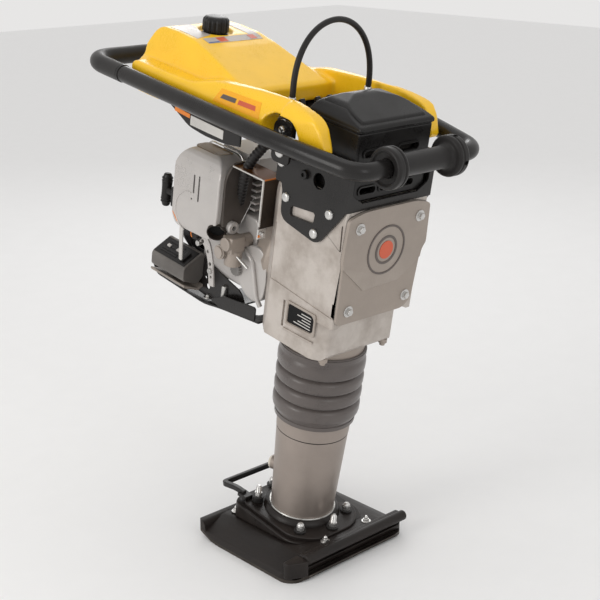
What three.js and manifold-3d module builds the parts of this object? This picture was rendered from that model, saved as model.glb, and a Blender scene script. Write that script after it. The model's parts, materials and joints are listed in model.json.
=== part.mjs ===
// Vibratory rammer ("jumping jack"): a petrol-engined tamper on a sprung leg and a flat shoe.
// Millimetres, +Z up, -Y is the working direction (the front), the operator stands at +Y.
// Origin: centre of the shoe's sole on the ground. Everything above the shoe leans forward by LEAN.
import * as THREE from "three";
import { mergeVertices } from "three/addons/utils/BufferGeometryUtils.js";
import Module from "manifold-3d";

const wasm = await Module();
wasm.setup();

// ---- Driving dimensions -------------------------------------------------------------------
const GAP = 0.3; // between pieces that touch
const LEAN = THREE.MathUtils.degToRad(9.4); // the leg's forward lean
const LEG_FOOT_Y = 11; // where the leg's axis meets the ground

const SHOE_WIDTH = 284;
const SHOE_FRONT = -122;
const SHOE_REAR = 122;
const SHOE_TOP = 36;
const SOLE_THICKNESS = 6;
const SOLE_RISE = 16; // how far the sole turns up at the rear
const LIP_RADIUS = 9;

const FLANGE_TOP = 56; // along the leg
const FLANGE_BOLT_CIRCLE = 79;
const LEG_BORE = 49;
const LEG_TOP = 222;
const LEG_RADIUS_LOW = 55.5;
const LEG_RADIUS_HIGH = 62.5;
const SPRING_SEAT = 200;
const COLLAR_TOP = 262;
const COLLAR_SLEEVE_TOP = 292;

const GUIDE_RADIUS = 47;
const GUIDE_BORE = 43;
const GUIDE_BOTTOM = 235;
const NECK_RADIUS = 69;
const NECK_BOTTOM = 373;
const BELLOWS_PITCH = 26.5;
const BELLOWS_LOBES = [277.5, 304, 330.5, 357];
const BELLOWS_RADIUS = 75;

const CASE_BASE = 402;
const CASE_TOP = 664;
const CASE_HALF = 90;
const CASE_FRONT = -98;
const CASE_REAR = 82;
const CASE_WALL = 8;
const LOW_TOP = 476; // below this the front steps back under the cover
const LOW_FRONT = -80;
const COVER_THICKNESS = 7;
const COVER_BOLTS = [
  [-66.4, 638],
  [66.4, 638],
  [66.4, 498],
  [-66.4, 498],
];

const CRANK_Z = 586;
const CRANK_THROW = 16;
const GEAR_MODULE = 2;
const GEAR_TEETH = 68;
const PINION_TEETH = 12;
const PINION_Z = CRANK_Z - (GEAR_MODULE * (GEAR_TEETH + PINION_TEETH)) / 2;
const GEAR_FRONT = 10;
const GEAR_REAR = 28;
const ROD_LENGTH = 184;
const ROD_HALF = 8;
const SHAFT_REACH = 72; // the rear end of the crank gear's shaft

const TUBE_RADIUS = 14;
const HANDLE_HALF = 157.8;
const HANDLE_Z = 755;
const GRIP_SEAM = 389;
const GRIP_REAR = 484;
const GRIP_RADIUS = 15.6;
const ROLLER_Y = -145;
const ROLLER_Z = 749;
const ROLLER_RADIUS = 32;
const ROLLER_HALF = 78;
const MOUNT_Y = 28; // the handle's rubber mounts
const MOUNT_Z = 726;

const PLATE_INNER = CASE_HALF + GAP;
const PLATE_THICKNESS = 5;

const HUMP_TOP = 829;
const CAP_X = 0;
const CAP_Y = 346;
const CAP_RADIUS = 23;

// ---- Materials ----------------------------------------------------------------------------
const finish = (color, roughness, metalness) =>
  new THREE.MeshStandardMaterial({ color, roughness, metalness });
const YELLOW = finish(0xf6bd1e, 0.38, 0);
const BLACK_STEEL = finish(0x1d1b1b, 0.4, 0.3);
const BLACK_PLASTIC = finish(0x161515, 0.5, 0);
const CAST_ALUMINIUM = finish(0xa79e96, 0.55, 0.6);
const ENGINE_GREY = finish(0x9b9792, 0.42, 0.5);
const DARK_IRON = finish(0x2a2421, 0.5, 0.3);
const RUBBER = finish(0x5b5552, 0.35, 0);
const GRIP_RUBBER = finish(0x242121, 0.6, 0);
const ZINC = finish(0xc9c7c2, 0.3, 0.9);
const STEEL = finish(0x8c8c8c, 0.35, 0.9);
const SHOE_BLACK = finish(0x241e1b, 0.5, 0);
const GLASS = finish(0xd9cfa8, 0.1, 0);

// ---- Solids -------------------------------------------------------------------------------
// A closed three.js geometry as a manifold-3d solid, with its faces pointing out.
function solid(geometry) {
  const bare = geometry.index ? geometry.toNonIndexed() : geometry.clone();
  bare.deleteAttribute("normal");
  bare.deleteAttribute("uv");
  const merged = mergeVertices(bare, 1e-3);
  const index = merged.index.array;
  const make = (flip) => {
    const faces = [];
    for (let i = 0; i < index.length; i += 3) {
      const [a, b, c] = [index[i], index[i + 1], index[i + 2]];
      if (a === b || b === c || c === a) continue;
      faces.push(a, flip ? c : b, flip ? b : c);
    }
    return new wasm.Manifold(
      new wasm.Mesh({
        numProp: 3,
        vertProperties: merged.attributes.position.array,
        triVerts: new Uint32Array(faces),
      }),
    );
  };
  const made = make(false);
  return made.volume() < 0 ? make(true) : made;
}

function geometryOf(made) {
  const { vertProperties, triVerts } = made.getMesh();
  const geometry = new THREE.BufferGeometry();
  geometry.setAttribute(
    "position",
    new THREE.BufferAttribute(new Float32Array(vertProperties), 3),
  );
  geometry.setIndex(new THREE.BufferAttribute(new Uint32Array(triVerts), 1));
  const flat = geometry.toNonIndexed();
  flat.computeVertexNormals();
  return flat;
}

const join = (...solids) => solids.reduce((all, next) => all.add(next));
const cut = (from, ...tools) => tools.reduce((left, tool) => left.subtract(tool), from);

// A block between two corners.
function block(x0, x1, y0, y1, z0, z1) {
  const geometry = new THREE.BoxGeometry(x1 - x0, y1 - y0, z1 - z0);
  geometry.translate((x0 + x1) / 2, (y0 + y1) / 2, (z0 + z1) / 2);
  return solid(geometry);
}

// A closed outline from corners [a, b, round]; round is how far each rounded corner is cut back.
function outline(corners) {
  const shape = new THREE.Shape();
  const count = corners.length;
  corners.forEach(([a, b, round = 0], i) => {
    const here = new THREE.Vector2(a, b);
    if (!round) {
      if (i === 0) shape.moveTo(a, b);
      else shape.lineTo(a, b);
      return;
    }
    const before = new THREE.Vector2(...corners[(i + count - 1) % count].slice(0, 2)).sub(here);
    const after = new THREE.Vector2(...corners[(i + 1) % count].slice(0, 2)).sub(here);
    const fair = Math.min(round, 0.48 * before.length(), 0.48 * after.length());
    const entry = here.clone().add(before.setLength(fair));
    const leave = here.clone().add(after.setLength(fair));
    if (i === 0) shape.moveTo(entry.x, entry.y);
    else shape.lineTo(entry.x, entry.y);
    shape.quadraticCurveTo(a, b, leave.x, leave.y);
  });
  shape.closePath();
  return shape;
}

const circle = (radius, a = 0, b = 0) => {
  const shape = new THREE.Shape();
  shape.absarc(a, b, radius, 0, Math.PI * 2, false);
  return shape;
};

// An outline in (x, y) pulled up from z0 to z1.
function alongZ(shape, z0, z1, curveSegments = 5) {
  const geometry = new THREE.ExtrudeGeometry(shape, {
    depth: z1 - z0,
    bevelEnabled: false,
    curveSegments,
  });
  geometry.translate(0, 0, z0);
  return solid(geometry);
}

// An outline in (y, z) pulled along X from x0 to x1.
function alongX(shape, x0, x1, curveSegments = 5) {
  const geometry = new THREE.ExtrudeGeometry(shape, {
    depth: x1 - x0,
    bevelEnabled: false,
    curveSegments,
  });
  const turn = new THREE.Matrix4().makeBasis(
    new THREE.Vector3(0, 1, 0),
    new THREE.Vector3(0, 0, 1),
    new THREE.Vector3(1, 0, 0),
  );
  geometry.applyMatrix4(turn);
  geometry.translate(x0, 0, 0);
  return solid(geometry);
}

// An outline in (x, z) pulled along Y from y0 to y1.
function alongY(shape, y0, y1, curveSegments = 5) {
  const geometry = new THREE.ExtrudeGeometry(shape, {
    depth: y1 - y0,
    bevelEnabled: false,
    curveSegments,
  });
  geometry.rotateX(Math.PI / 2);
  geometry.translate(0, y1, 0);
  return solid(geometry);
}

// A solid of revolution about Z through (x, y); profile is [radius, z] and closes on itself.
function turned(profile, x = 0, y = 0, segments = 32) {
  const points = profile.map(([r, z]) => new THREE.Vector2(r, z));
  const closed = profile[0][0] > 0 || profile.at(-1)[0] > 0;
  if (closed) points.push(points[0].clone());
  const geometry = new THREE.LatheGeometry(points, segments);
  geometry.rotateX(Math.PI / 2);
  geometry.translate(x, y, 0);
  return solid(geometry);
}

// The same about an axis along Y through (x, z); profile is [radius, y].
function turnedY(profile, x, z, segments = 32) {
  const points = profile.map(([r, y]) => new THREE.Vector2(r, y));
  if (profile[0][0] > 0 || profile.at(-1)[0] > 0) points.push(points[0].clone());
  const geometry = new THREE.LatheGeometry(points, segments);
  geometry.translate(x, 0, z);
  return solid(geometry);
}

// The same about an axis along X through (y, z); profile is [radius, x].
function turnedX(profile, y, z, segments = 32) {
  const points = profile.map(([r, x]) => new THREE.Vector2(r, x));
  if (profile[0][0] > 0 || profile.at(-1)[0] > 0) points.push(points[0].clone());
  const geometry = new THREE.LatheGeometry(points, segments);
  geometry.rotateZ(-Math.PI / 2);
  geometry.translate(0, y, z);
  return solid(geometry);
}

const rodZ = (radius, x, y, z0, z1, n = 20) =>
  turned([[0, z0], [radius, z0], [radius, z1], [0, z1]], x, y, n);
const rodY = (radius, x, z, y0, y1, n = 20) =>
  turnedY([[0, y0], [radius, y0], [radius, y1], [0, y1]], x, z, n);
const rodX = (radius, y, z, x0, x1, n = 20) =>
  turnedX([[0, x0], [radius, x0], [radius, x1], [0, x1]], y, z, n);

// A path through given points, one step from each point to the next.
class StepPath extends THREE.Curve {
  constructor(points) {
    super();
    this.points = points;
  }
  getPoint(t) {
    const at = t * (this.points.length - 1);
    const i = Math.min(Math.floor(at), this.points.length - 2);
    return this.points[i].clone().lerp(this.points[i + 1], at - i);
  }
  getPointAt(u) {
    return this.getPoint(u);
  }
  getTangentAt(u) {
    const i = Math.round(u * (this.points.length - 1));
    const before = this.points[Math.max(i - 1, 0)];
    const after = this.points[Math.min(i + 1, this.points.length - 1)];
    return after.clone().sub(before).normalize();
  }
}

// Points along straight runs between corners [x, y, z, radius], with an arc at each rounded corner.
function bentPath(corners, arcSteps = 6) {
  const points = [];
  corners.forEach(([x, y, z, radius = 0], i) => {
    const here = new THREE.Vector3(x, y, z);
    if (!radius) {
      points.push(here);
      return;
    }
    const inward = new THREE.Vector3(...corners[i - 1].slice(0, 3)).sub(here).normalize();
    const onward = new THREE.Vector3(...corners[i + 1].slice(0, 3)).sub(here).normalize();
    const half = inward.angleTo(onward) / 2;
    const reach = radius / Math.tan(half);
    const middle = inward.clone().add(onward).setLength(radius / Math.sin(half)).add(here);
    const from = here.clone().addScaledVector(inward, reach).sub(middle);
    const to = here.clone().addScaledVector(onward, reach).sub(middle);
    const sweep = from.angleTo(to);
    for (let step = 0; step <= arcSteps; step += 1) {
      const part = step / arcSteps;
      const spoke = from
        .clone()
        .multiplyScalar(Math.sin((1 - part) * sweep) / Math.sin(sweep))
        .addScaledVector(to, Math.sin(part * sweep) / Math.sin(sweep));
      points.push(spoke.add(middle));
    }
  });
  return points;
}

function tube(points, radius, sides = 12) {
  return solid(
    new THREE.ExtrudeGeometry(circle(radius), {
      steps: points.length - 1,
      extrudePath: new StepPath(points),
      curveSegments: sides / 2,
    }),
  );
}

// A coil spring about the leg's axis.
function coil(radius, wire, z0, z1, turns) {
  const stepsPerTurn = 12;
  const points = [];
  const steps = turns * stepsPerTurn;
  for (let i = 0; i <= steps; i += 1) {
    const angle = (i / stepsPerTurn) * Math.PI * 2;
    const rise = z0 + wire + ((z1 - z0 - 2 * wire) * i) / steps;
    points.push(new THREE.Vector3(radius * Math.cos(angle), radius * Math.sin(angle), rise));
  }
  return tube(points, wire, 8);
}

// A spur gear about an axis along Y through (0, z); a tooth points down when toothDown is true.
function spurGear(teeth, z, y0, y1, toothDown) {
  const pitchRadius = (GEAR_MODULE * teeth) / 2;
  const step = (Math.PI * 2) / teeth;
  const root = pitchRadius - 1.2 * GEAR_MODULE;
  const tip = pitchRadius + 0.85 * GEAR_MODULE;
  const thick = 0.4 * Math.PI * GEAR_MODULE; // tooth thickness at the pitch circle
  const flank = Math.tan(THREE.MathUtils.degToRad(20));
  const halfAt = (radius) => (thick / 2 - (radius - pitchRadius) * flank) / radius;
  const corners = [];
  for (let i = 0; i < teeth; i += 1) {
    const middle = -Math.PI / 2 + (i + (toothDown ? 0 : 0.5)) * step;
    for (const [radius, side] of [[root, -1], [tip, -1], [tip, 1], [root, 1]]) {
      const angle = middle + side * halfAt(radius);
      corners.push([radius * Math.cos(angle), z + radius * Math.sin(angle)]);
    }
  }
  return alongY(outline(corners), y0, y1);
}

// ---- The scene ----------------------------------------------------------------------------
const rammer = new THREE.Group();
const upright = new THREE.Group(); // level with the ground
const leaning = new THREE.Group(); // Z along the leg, from where its axis meets the ground
leaning.position.set(0, LEG_FOOT_Y, 0);
leaning.rotation.x = LEAN;
rammer.add(upright, leaning);

function add(name, made, material, group = leaning) {
  const mesh = new THREE.Mesh(geometryOf(made), material);
  mesh.name = name;
  group.add(mesh);
}

// The ground frame's half-space below height z, seen from the leaning group.
function belowLevel(z) {
  const geometry = new THREE.BoxGeometry(600, 600, 200);
  geometry.translate(0, 0, z - 100);
  geometry.translate(0, -LEG_FOOT_Y, 0);
  geometry.rotateX(-LEAN);
  return solid(geometry);
}

// ---- Foot ---------------------------------------------------------------------------------
function shoe() {
  const half = SHOE_WIDTH / 2;
  const plan = outline([
    [-half, SHOE_FRONT + 14, 14],
    [-half + 30, SHOE_FRONT - 6, 12],
    [half - 30, SHOE_FRONT - 6, 12],
    [half, SHOE_FRONT + 14, 14],
    [half, SHOE_REAR, 10],
    [-half, SHOE_REAR, 10],
  ]);
  const soleSide = outline([
    [SHOE_FRONT - 6, 5],
    [SHOE_FRONT + 2, 0],
    [86, 0],
    [SHOE_REAR, SOLE_RISE],
    [SHOE_REAR, SOLE_RISE + SOLE_THICKNESS],
    [84, SOLE_THICKNESS],
    [SHOE_FRONT + 2, SOLE_THICKNESS],
    [SHOE_FRONT - 6, 11],
  ]);
  const soleWidth = SHOE_WIDTH / 2 - 1;
  const sole = alongX(soleSide, -soleWidth, soleWidth).intersect(alongZ(plan, -1, 60));
  const base = SOLE_THICKNESS + GAP;
  const bodySide = outline([
    [SHOE_FRONT + 8, base],
    [84, base],
    [SHOE_REAR, SOLE_RISE + base],
    [SHOE_REAR, SHOE_TOP, 4],
    [-92, SHOE_TOP],
    [SHOE_FRONT + 2, SHOE_TOP],
    [SHOE_FRONT + 2, 20],
    [SHOE_FRONT + 8, 16],
  ]);
  const dome = outline([
    [-half, base - 1],
    [-half, 15, 3],
    [-96, SHOE_TOP, 14],
    [96, SHOE_TOP, 14],
    [half, 15, 3],
    [half, base - 1],
  ]);
  const slab = alongX(bodySide, -half, half).intersect(alongZ(plan, -1, 60));
  const rearLip = slab.intersect(block(-half, half, 106, SHOE_REAR + 1, base - 1, SHOE_TOP));
  const body = join(slab.intersect(alongY(dome, -140, 112)), rearLip);
  const lip = rodX(LIP_RADIUS, SHOE_FRONT + 2, SHOE_TOP - 1, -half + 34, half - 34, 20);
  add("shoe_sole", sole, DARK_IRON, upright);
  add("shoe_body", join(body, lip), SHOE_BLACK, upright);
}

function footFlange() {
  const plan = outline([
    [-88, 92, 26],
    [-88, -62, 20],
    [-50, -106, 26],
    [50, -106, 26],
    [88, -62, 20],
    [88, 92, 26],
  ]);
  const wedge = cut(alongZ(plan, 10, FLANGE_TOP), belowLevel(SHOE_TOP + GAP));
  const hub = turned([
    [LEG_RADIUS_LOW + GAP, FLANGE_TOP - 2],
    [67, FLANGE_TOP - 2],
    [64, FLANGE_TOP + 9],
    [LEG_RADIUS_LOW + GAP + 0.5, FLANGE_TOP + 9],
  ]);
  const holes = boltPlaces().map(([x, y]) => rodZ(5.4, x, y, 0, 90, 12));
  add("foot_flange", cut(join(wedge, hub), ...holes), DARK_IRON);
}

function boltPlaces() {
  return [45, 90, 135, 225, 270, 315].map((degrees) => {
    const angle = THREE.MathUtils.degToRad(degrees);
    return [FLANGE_BOLT_CIRCLE * Math.cos(angle), FLANGE_BOLT_CIRCLE * Math.sin(angle)];
  });
}

// Flange bolts: a shank through the flange, a hexagon nut on a bush and the thread above it.
function flangeBolts() {
  const tall = [2, 4]; // the long studs, at the rear left and the front
  boltPlaces().forEach(([x, y], i) => {
    const seat = FLANGE_TOP + GAP;
    const bush = tall.includes(i) ? 10 : 3;
    const top = seat + bush + (tall.includes(i) ? 22 : 13);
    const low = FLANGE_TOP - (y > 0 ? 14 : 4);
    const shank = rodZ(4.9, x, y, low, top, 12);
    const washer = rodZ(9.5, x, y, seat, seat + bush, 14);
    const nut = rodZ(8.2, x, y, seat + bush - 0.5, seat + bush + 8, 6);
    add(`flange_bolt_${i + 1}`, join(shank, washer, nut), ZINC);
  });
}

function footHandle() {
  const path = bentPath(
    [
      [-66, 74, FLANGE_TOP + 7.2],
      [-68, 100, FLANGE_TOP + 7.2, 12],
      [-71, 132, FLANGE_TOP - 1, 13],
      [71, 132, FLANGE_TOP - 1, 13],
      [68, 100, FLANGE_TOP + 7.2, 12],
      [66, 74, FLANGE_TOP + 7.2],
    ],
    4,
  );
  const bar = tube(path, 6.5, 10);
  const feet = [-1, 1].map((side) => {
    const [x0, x1] = side < 0 ? [-76, -60] : [60, 76];
    return block(x0, x1, 66, 90, FLANGE_TOP + GAP, FLANGE_TOP + 8);
  });
  const clear = boltPlaces().map(([x, y]) => rodZ(10, x, y, 0, 120, 14));
  add("foot_handle", cut(join(bar, ...feet), ...clear), BLACK_STEEL);
}

function leg() {
  const cylinder = turned([
    [LEG_BORE, FLANGE_TOP + GAP],
    [LEG_RADIUS_LOW, FLANGE_TOP + GAP],
    [LEG_RADIUS_HIGH, LEG_TOP],
    [LEG_BORE, LEG_TOP],
    [LEG_BORE, SPRING_SEAT + 7],
    [30, SPRING_SEAT + 7],
    [30, SPRING_SEAT],
    [LEG_BORE, SPRING_SEAT],
  ]);
  const boss = rodX(13, 0, 128, 52, 66, 20);
  const port = rodX(9, 0, 128, 40, 70, 16);
  const [bossTurned, portTurned] = [boss, port].map((made) => {
    const geometry = geometryOf(made);
    geometry.rotateZ(SIGHT_ANGLE);
    return solid(geometry);
  });
  const inside = rodZ(LEG_BORE, 0, 0, 60, 190, 32);
  add("leg_cylinder", cut(join(cylinder, cut(bossTurned, inside)), portTurned), CAST_ALUMINIUM);
  const glass = geometryOf(rodX(8.6, 0, 128, 52, 67, 16));
  glass.rotateZ(SIGHT_ANGLE);
  add("oil_sight_glass", solid(glass), GLASS);
  add(
    "leg_collar",
    turned([
      [GUIDE_RADIUS + 1, LEG_TOP + GAP],
      [63.5, LEG_TOP + GAP],
      [64, COLLAR_TOP - 18],
      [64, COLLAR_TOP],
      [54, COLLAR_TOP],
      [54, COLLAR_SLEEVE_TOP],
      [GUIDE_RADIUS + 1, COLLAR_SLEEVE_TOP],
    ]),
    CAST_ALUMINIUM,
  );
}
const SIGHT_ANGLE = THREE.MathUtils.degToRad(117); // round the leg from +X: rear, a little to the left

// ---- Ram: piston, spring plate and springs ---------------------------------------------------
const PISTON_FOOT = 104;
const PLATE_LOW = 112;
const PLATE_HIGH = 121;
function ram() {
  const piston = turned([
    [0, PISTON_FOOT],
    [16, PISTON_FOOT],
    [16, PLATE_LOW - GAP],
    [10.5, PLATE_LOW - GAP],
    [10.5, 320],
    [GUIDE_BORE - 0.6, 320],
    [GUIDE_BORE - 0.6, 398],
    [38, 398],
    [38, 330],
    [0, 330],
  ]);
  add("ram_piston", piston, STEEL);
  add(
    "spring_plate",
    turned([
      [10.8, PLATE_LOW],
      [45, PLATE_LOW],
      [45, PLATE_HIGH],
      [10.8, PLATE_HIGH],
    ]),
    STEEL,
  );
  add("lower_spring", coil(36, 4.2, FLANGE_TOP + GAP, PLATE_LOW - GAP, 3), STEEL);
  add("upper_spring", coil(36, 4.2, PLATE_HIGH + GAP, SPRING_SEAT - GAP, 5), STEEL);
}

// ---- Guide cylinder and bellows ---------------------------------------------------------------
function guide() {
  add(
    "guide_cylinder",
    turned([
      [GUIDE_BORE, GUIDE_BOTTOM],
      [GUIDE_RADIUS, GUIDE_BOTTOM],
      [GUIDE_RADIUS, NECK_BOTTOM],
      [NECK_RADIUS - 1, NECK_BOTTOM],
      [NECK_RADIUS, NECK_BOTTOM + 14],
      [NECK_RADIUS, CASE_BASE - GAP],
      [GUIDE_BORE, CASE_BASE - GAP],
    ]),
    CAST_ALUMINIUM,
  );
  const outer = [
    [67.5, 250],
    [67.5, 262],
  ];
  const inner = [
    [64.4, 250],
    [64.4, COLLAR_TOP + 2],
  ];
  BELLOWS_LOBES.forEach((z, i) => {
    const valley = 66;
    outer.push([BELLOWS_RADIUS, z - 7], [BELLOWS_RADIUS, z + 7]);
    inner.push([BELLOWS_RADIUS - 4, z - 5], [BELLOWS_RADIUS - 4, z + 5]);
    if (i < BELLOWS_LOBES.length - 1) {
      outer.push([valley, z + BELLOWS_PITCH / 2]);
      inner.push([valley - 4, z + BELLOWS_PITCH / 2]);
    }
  });
  outer.push([72.5, 371], [72.5, 386]);
  inner.push([69.3, 370], [69.3, 386]);
  add("bellows", turned([...outer, ...inner.reverse()]), RUBBER);
}

// ---- Crankcase ----------------------------------------------------------------------------------
function crankcase() {
  const side = outline([
    [CASE_FRONT, CASE_BASE + 20],
    [LOW_FRONT, CASE_BASE + 10, 4],
    [LOW_FRONT + 8, CASE_BASE, 4],
    [CASE_REAR - 4, CASE_BASE, 5],
    [CASE_REAR, 500],
    [CASE_REAR, 640, 14],
    [CASE_REAR - 18, CASE_TOP, 10],
    [CASE_FRONT, CASE_TOP],
  ]);
  const plan = outline([
    [-CASE_HALF, CASE_FRONT, 3],
    [CASE_HALF, CASE_FRONT, 3],
    [CASE_HALF, 52],
    [CASE_HALF - 22, CASE_REAR],
    [-CASE_HALF + 22, CASE_REAR],
    [-CASE_HALF, 52],
  ]);
  const lowPlan = outline([
    [-73, LOW_FRONT, 3],
    [73, LOW_FRONT, 3],
    [CASE_HALF, LOW_FRONT + 22],
    [CASE_HALF, 52],
    [CASE_HALF - 22, CASE_REAR],
    [-CASE_HALF + 22, CASE_REAR],
    [-CASE_HALF, 52],
    [-CASE_HALF, LOW_FRONT + 22],
  ]);
  const inner = CASE_HALF - CASE_WALL;
  const tall = alongX(side, -CASE_HALF, CASE_HALF);
  const outside = join(
    tall.intersect(alongZ(plan, LOW_TOP, 700)),
    tall.intersect(alongZ(lowPlan, 300, LOW_TOP + 1)),
  );
  const hollow = block(-inner, inner, CASE_FRONT + CASE_WALL, 46, LOW_TOP + 6, CASE_TOP - 7);
  const lowHollow = block(-66, 66, LOW_FRONT + CASE_WALL, 46, CASE_BASE + 10, LOW_TOP + 7);
  const mouth = block(-78, 78, CASE_FRONT - 1, CASE_FRONT + CASE_WALL + 1, 494, 648);
  const rearHollow = block(-inner + 16, inner - 16, 40, CASE_REAR - 8, CASE_BASE + 10, CASE_TOP - 8);
  const ramHole = rodZ(GUIDE_BORE + 0.8, 0, 0, 390, 430, 32);
  const bossHole = rodY(24.6, 0, CRANK_Z, 30, CASE_REAR - 8, 28);
  const boss = turnedY(
    [
      [24.6, 52],
      [31, 52],
      [31, CASE_REAR - 7],
      [24.6, CASE_REAR - 7],
    ],
    0,
    CRANK_Z,
    28,
  );
  const clutchHole = rodY(22, 0, PINION_Z, 60, CASE_REAR + 5, 24);
  const hollowed = cut(outside, hollow, lowHollow, mouth, rearHollow, ramHole, bossHole, clutchHole);
  add("crankcase", join(hollowed, boss), CAST_ALUMINIUM);
}

function crankcaseCover() {
  const face = outline([
    [-90, 485, 6],
    [-84, 478, 4],
    [36, 477, 4],
    [64, 477, 10],
    [80, 492, 8],
    [86, 576, 6],
    [94, 588, 4],
    [90, 655, 6],
    [60, 664, 30],
    [-60, 664, 30],
    [-90, 655, 6],
    [-94, 588, 4],
    [-90, 574, 6],
  ]);
  const cover = alongY(face, CASE_FRONT - COVER_THICKNESS, CASE_FRONT - GAP);
  const holes = COVER_BOLTS.map(([x, z]) => rodY(4.4, x, z, CASE_FRONT - 20, CASE_FRONT + 20, 12));
  add("crankcase_cover", cut(cover, ...holes), CAST_ALUMINIUM);
}

function sidePlates() {
  const face = outline([
    [60, 738, 8],
    [60, 690, 8],
    [42, 662, 14],
    [40, 610, 16],
    [-46, 596, 10],
    [-97, 664, 8],
    [-97, 738, 8],
  ]);
  const slot = outline([
    [13, 641],
    [-36, 637],
    [-31, 622],
    [13, 627],
  ]);
  for (const [name, side] of [["side_plate_right", -1], ["side_plate_left", 1]]) {
    const edges = [side * PLATE_INNER, side * (PLATE_INNER + PLATE_THICKNESS)];
    const [x0, x1] = [Math.min(...edges), Math.max(...edges)];
    const plate = alongX(face, x0, x1);
    const windows = [rodX(12, -34, 694, x0 - 1, x1 + 1), alongX(slot, x0 - 1, x1 + 1)];
    add(name, cut(plate, ...windows), BLACK_STEEL);
  }
}

// ---- Gear train ---------------------------------------------------------------------------------
function gearTrain() {
  const gear = spurGear(GEAR_TEETH, CRANK_Z, GEAR_FRONT, GEAR_REAR, true);
  const pocket = turnedY(
    [
      [24, GEAR_REAR - 6],
      [56, GEAR_REAR - 6],
      [56, GEAR_REAR + 2],
      [24, GEAR_REAR + 2],
    ],
    0,
    CRANK_Z,
  );
  const shaft = rodY(12, 0, CRANK_Z, GEAR_REAR - 2, SHAFT_REACH, 24);
  const pinZ = CRANK_Z - CRANK_THROW;
  const pin = rodY(9, 0, pinZ, -ROD_HALF - 1.5, GEAR_FRONT + 1, 20);
  add("crank_gear", join(cut(gear, pocket), shaft, pin), STEEL);
  const bearing = [
    [12.4, 56],
    [24.2, 56],
    [24.2, 71],
    [12.4, 71],
  ];
  add("crank_bearing", turnedY(bearing, 0, CRANK_Z, 28), STEEL);
  const smallZ = pinZ - ROD_LENGTH;
  const shank = outline([
    [-10, pinZ],
    [10, pinZ],
    [8, smallZ],
    [-8, smallZ],
  ]);
  const rod = join(
    alongY(shank, -ROD_HALF, ROD_HALF),
    rodY(17, 0, pinZ, -ROD_HALF, ROD_HALF, 24),
    rodY(13, 0, smallZ, -ROD_HALF, ROD_HALF, 20),
  );
  const eyes = [
    rodY(9.4, 0, pinZ, -20, 20, 20),
    rodY(7, 0, smallZ, -20, 20, 16),
  ];
  add("con_rod", cut(rod, ...eyes), STEEL);
  const pinion = spurGear(PINION_TEETH, PINION_Z, GEAR_FRONT, GEAR_REAR, false);
  add("pinion", join(pinion, rodY(8.5, 0, PINION_Z, GEAR_REAR - 1, 92, 16)), STEEL);
  const drum = turnedY(
    [
      [0, 92 + GAP],
      [50, 92 + GAP],
      [50, 118],
      [47, 118],
      [47, 95.5],
      [0, 95.5],
    ],
    0,
    PINION_Z,
  );
  add("clutch_drum", drum, STEEL);
}

// ---- Engine -------------------------------------------------------------------------------------
const ENGINE_FRONT = 129;
const ENGINE_REAR = 262;
const BLOCK_RIGHT = -56; // the engine block's face on the exhaust side
const FILLER_Y = 158;
const FILLER_AXIS_Z = 470;
function engine() {
  const housing = turnedY(
    [
      [54, CASE_REAR + GAP],
      [64, CASE_REAR + GAP],
      [68, CASE_REAR + 12],
      [62, 124],
      [52, ENGINE_FRONT - GAP],
      [12, ENGINE_FRONT - GAP],
      [12, 122],
      [54, 120],
    ],
    0,
    PINION_Z,
  );
  add("clutch_housing", housing, CAST_ALUMINIUM);
  const blockSide = outline([
    [ENGINE_FRONT, 452, 14],
    [ENGINE_FRONT + 18, 434, 8],
    [ENGINE_REAR - 6, 434, 8],
    [ENGINE_REAR, 452, 8],
    [ENGINE_REAR, 566, 6],
    [ENGINE_FRONT, 566, 14],
  ]);
  const sump = alongX(blockSide, BLOCK_RIGHT, 72);
  const tunnel = rodY(26, 0, PINION_Z, ENGINE_FRONT - 1, ENGINE_REAR + 1, 24);
  const chamber = block(BLOCK_RIGHT + 12, 60, ENGINE_FRONT + 14, ENGINE_REAR - 12, 448, 556);
  const bore = rodZ(26, 0, 196, 540, 580, 24);
  const fillerHole = rodX(8, FILLER_Y, FILLER_AXIS_Z, BLOCK_RIGHT - 5, BLOCK_RIGHT + 14, 16);
  add("engine_block", cut(sump, tunnel, chamber, bore, fillerHole), ENGINE_GREY);

  const barrel = turned([[27, 566 + GAP], [38, 566 + GAP], [38, 640], [27, 640]], 0, 196, 28);
  const head = block(-48, 48, 150, 242, 638, 664);
  const fins = [];
  for (let i = 0; i < 6; i += 1) {
    const z = 574 + i * 11;
    fins.push(cut(block(-50, 50, 148, 244, z, z + 3.5), rodZ(30, 0, 196, z - 1, z + 5, 24)));
  }
  add("cylinder_barrel", join(barrel, head, ...fins), ENGINE_GREY);

  const shaft = rodY(11, 0, PINION_Z, 99, 300, 20);
  const web = block(-20, 20, 188, 204, PINION_Z - 24, PINION_Z + 20);
  const flywheel = turnedY(
    [
      [0, 270],
      [50, 270],
      [50, 291],
      [60, 294.5],
      [60, 301],
      [0, 301],
    ],
    0,
    PINION_Z,
  );
  const clutchShoes = turnedY([[0, 99], [44.5, 99], [44.5, 115], [0, 115]], 0, PINION_Z);
  add("engine_shaft", join(shaft, web, flywheel, clutchShoes), STEEL);

  recoilStarter();
  muffler();
  heatShieldAndHose();
  engineDetails();
}

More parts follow.
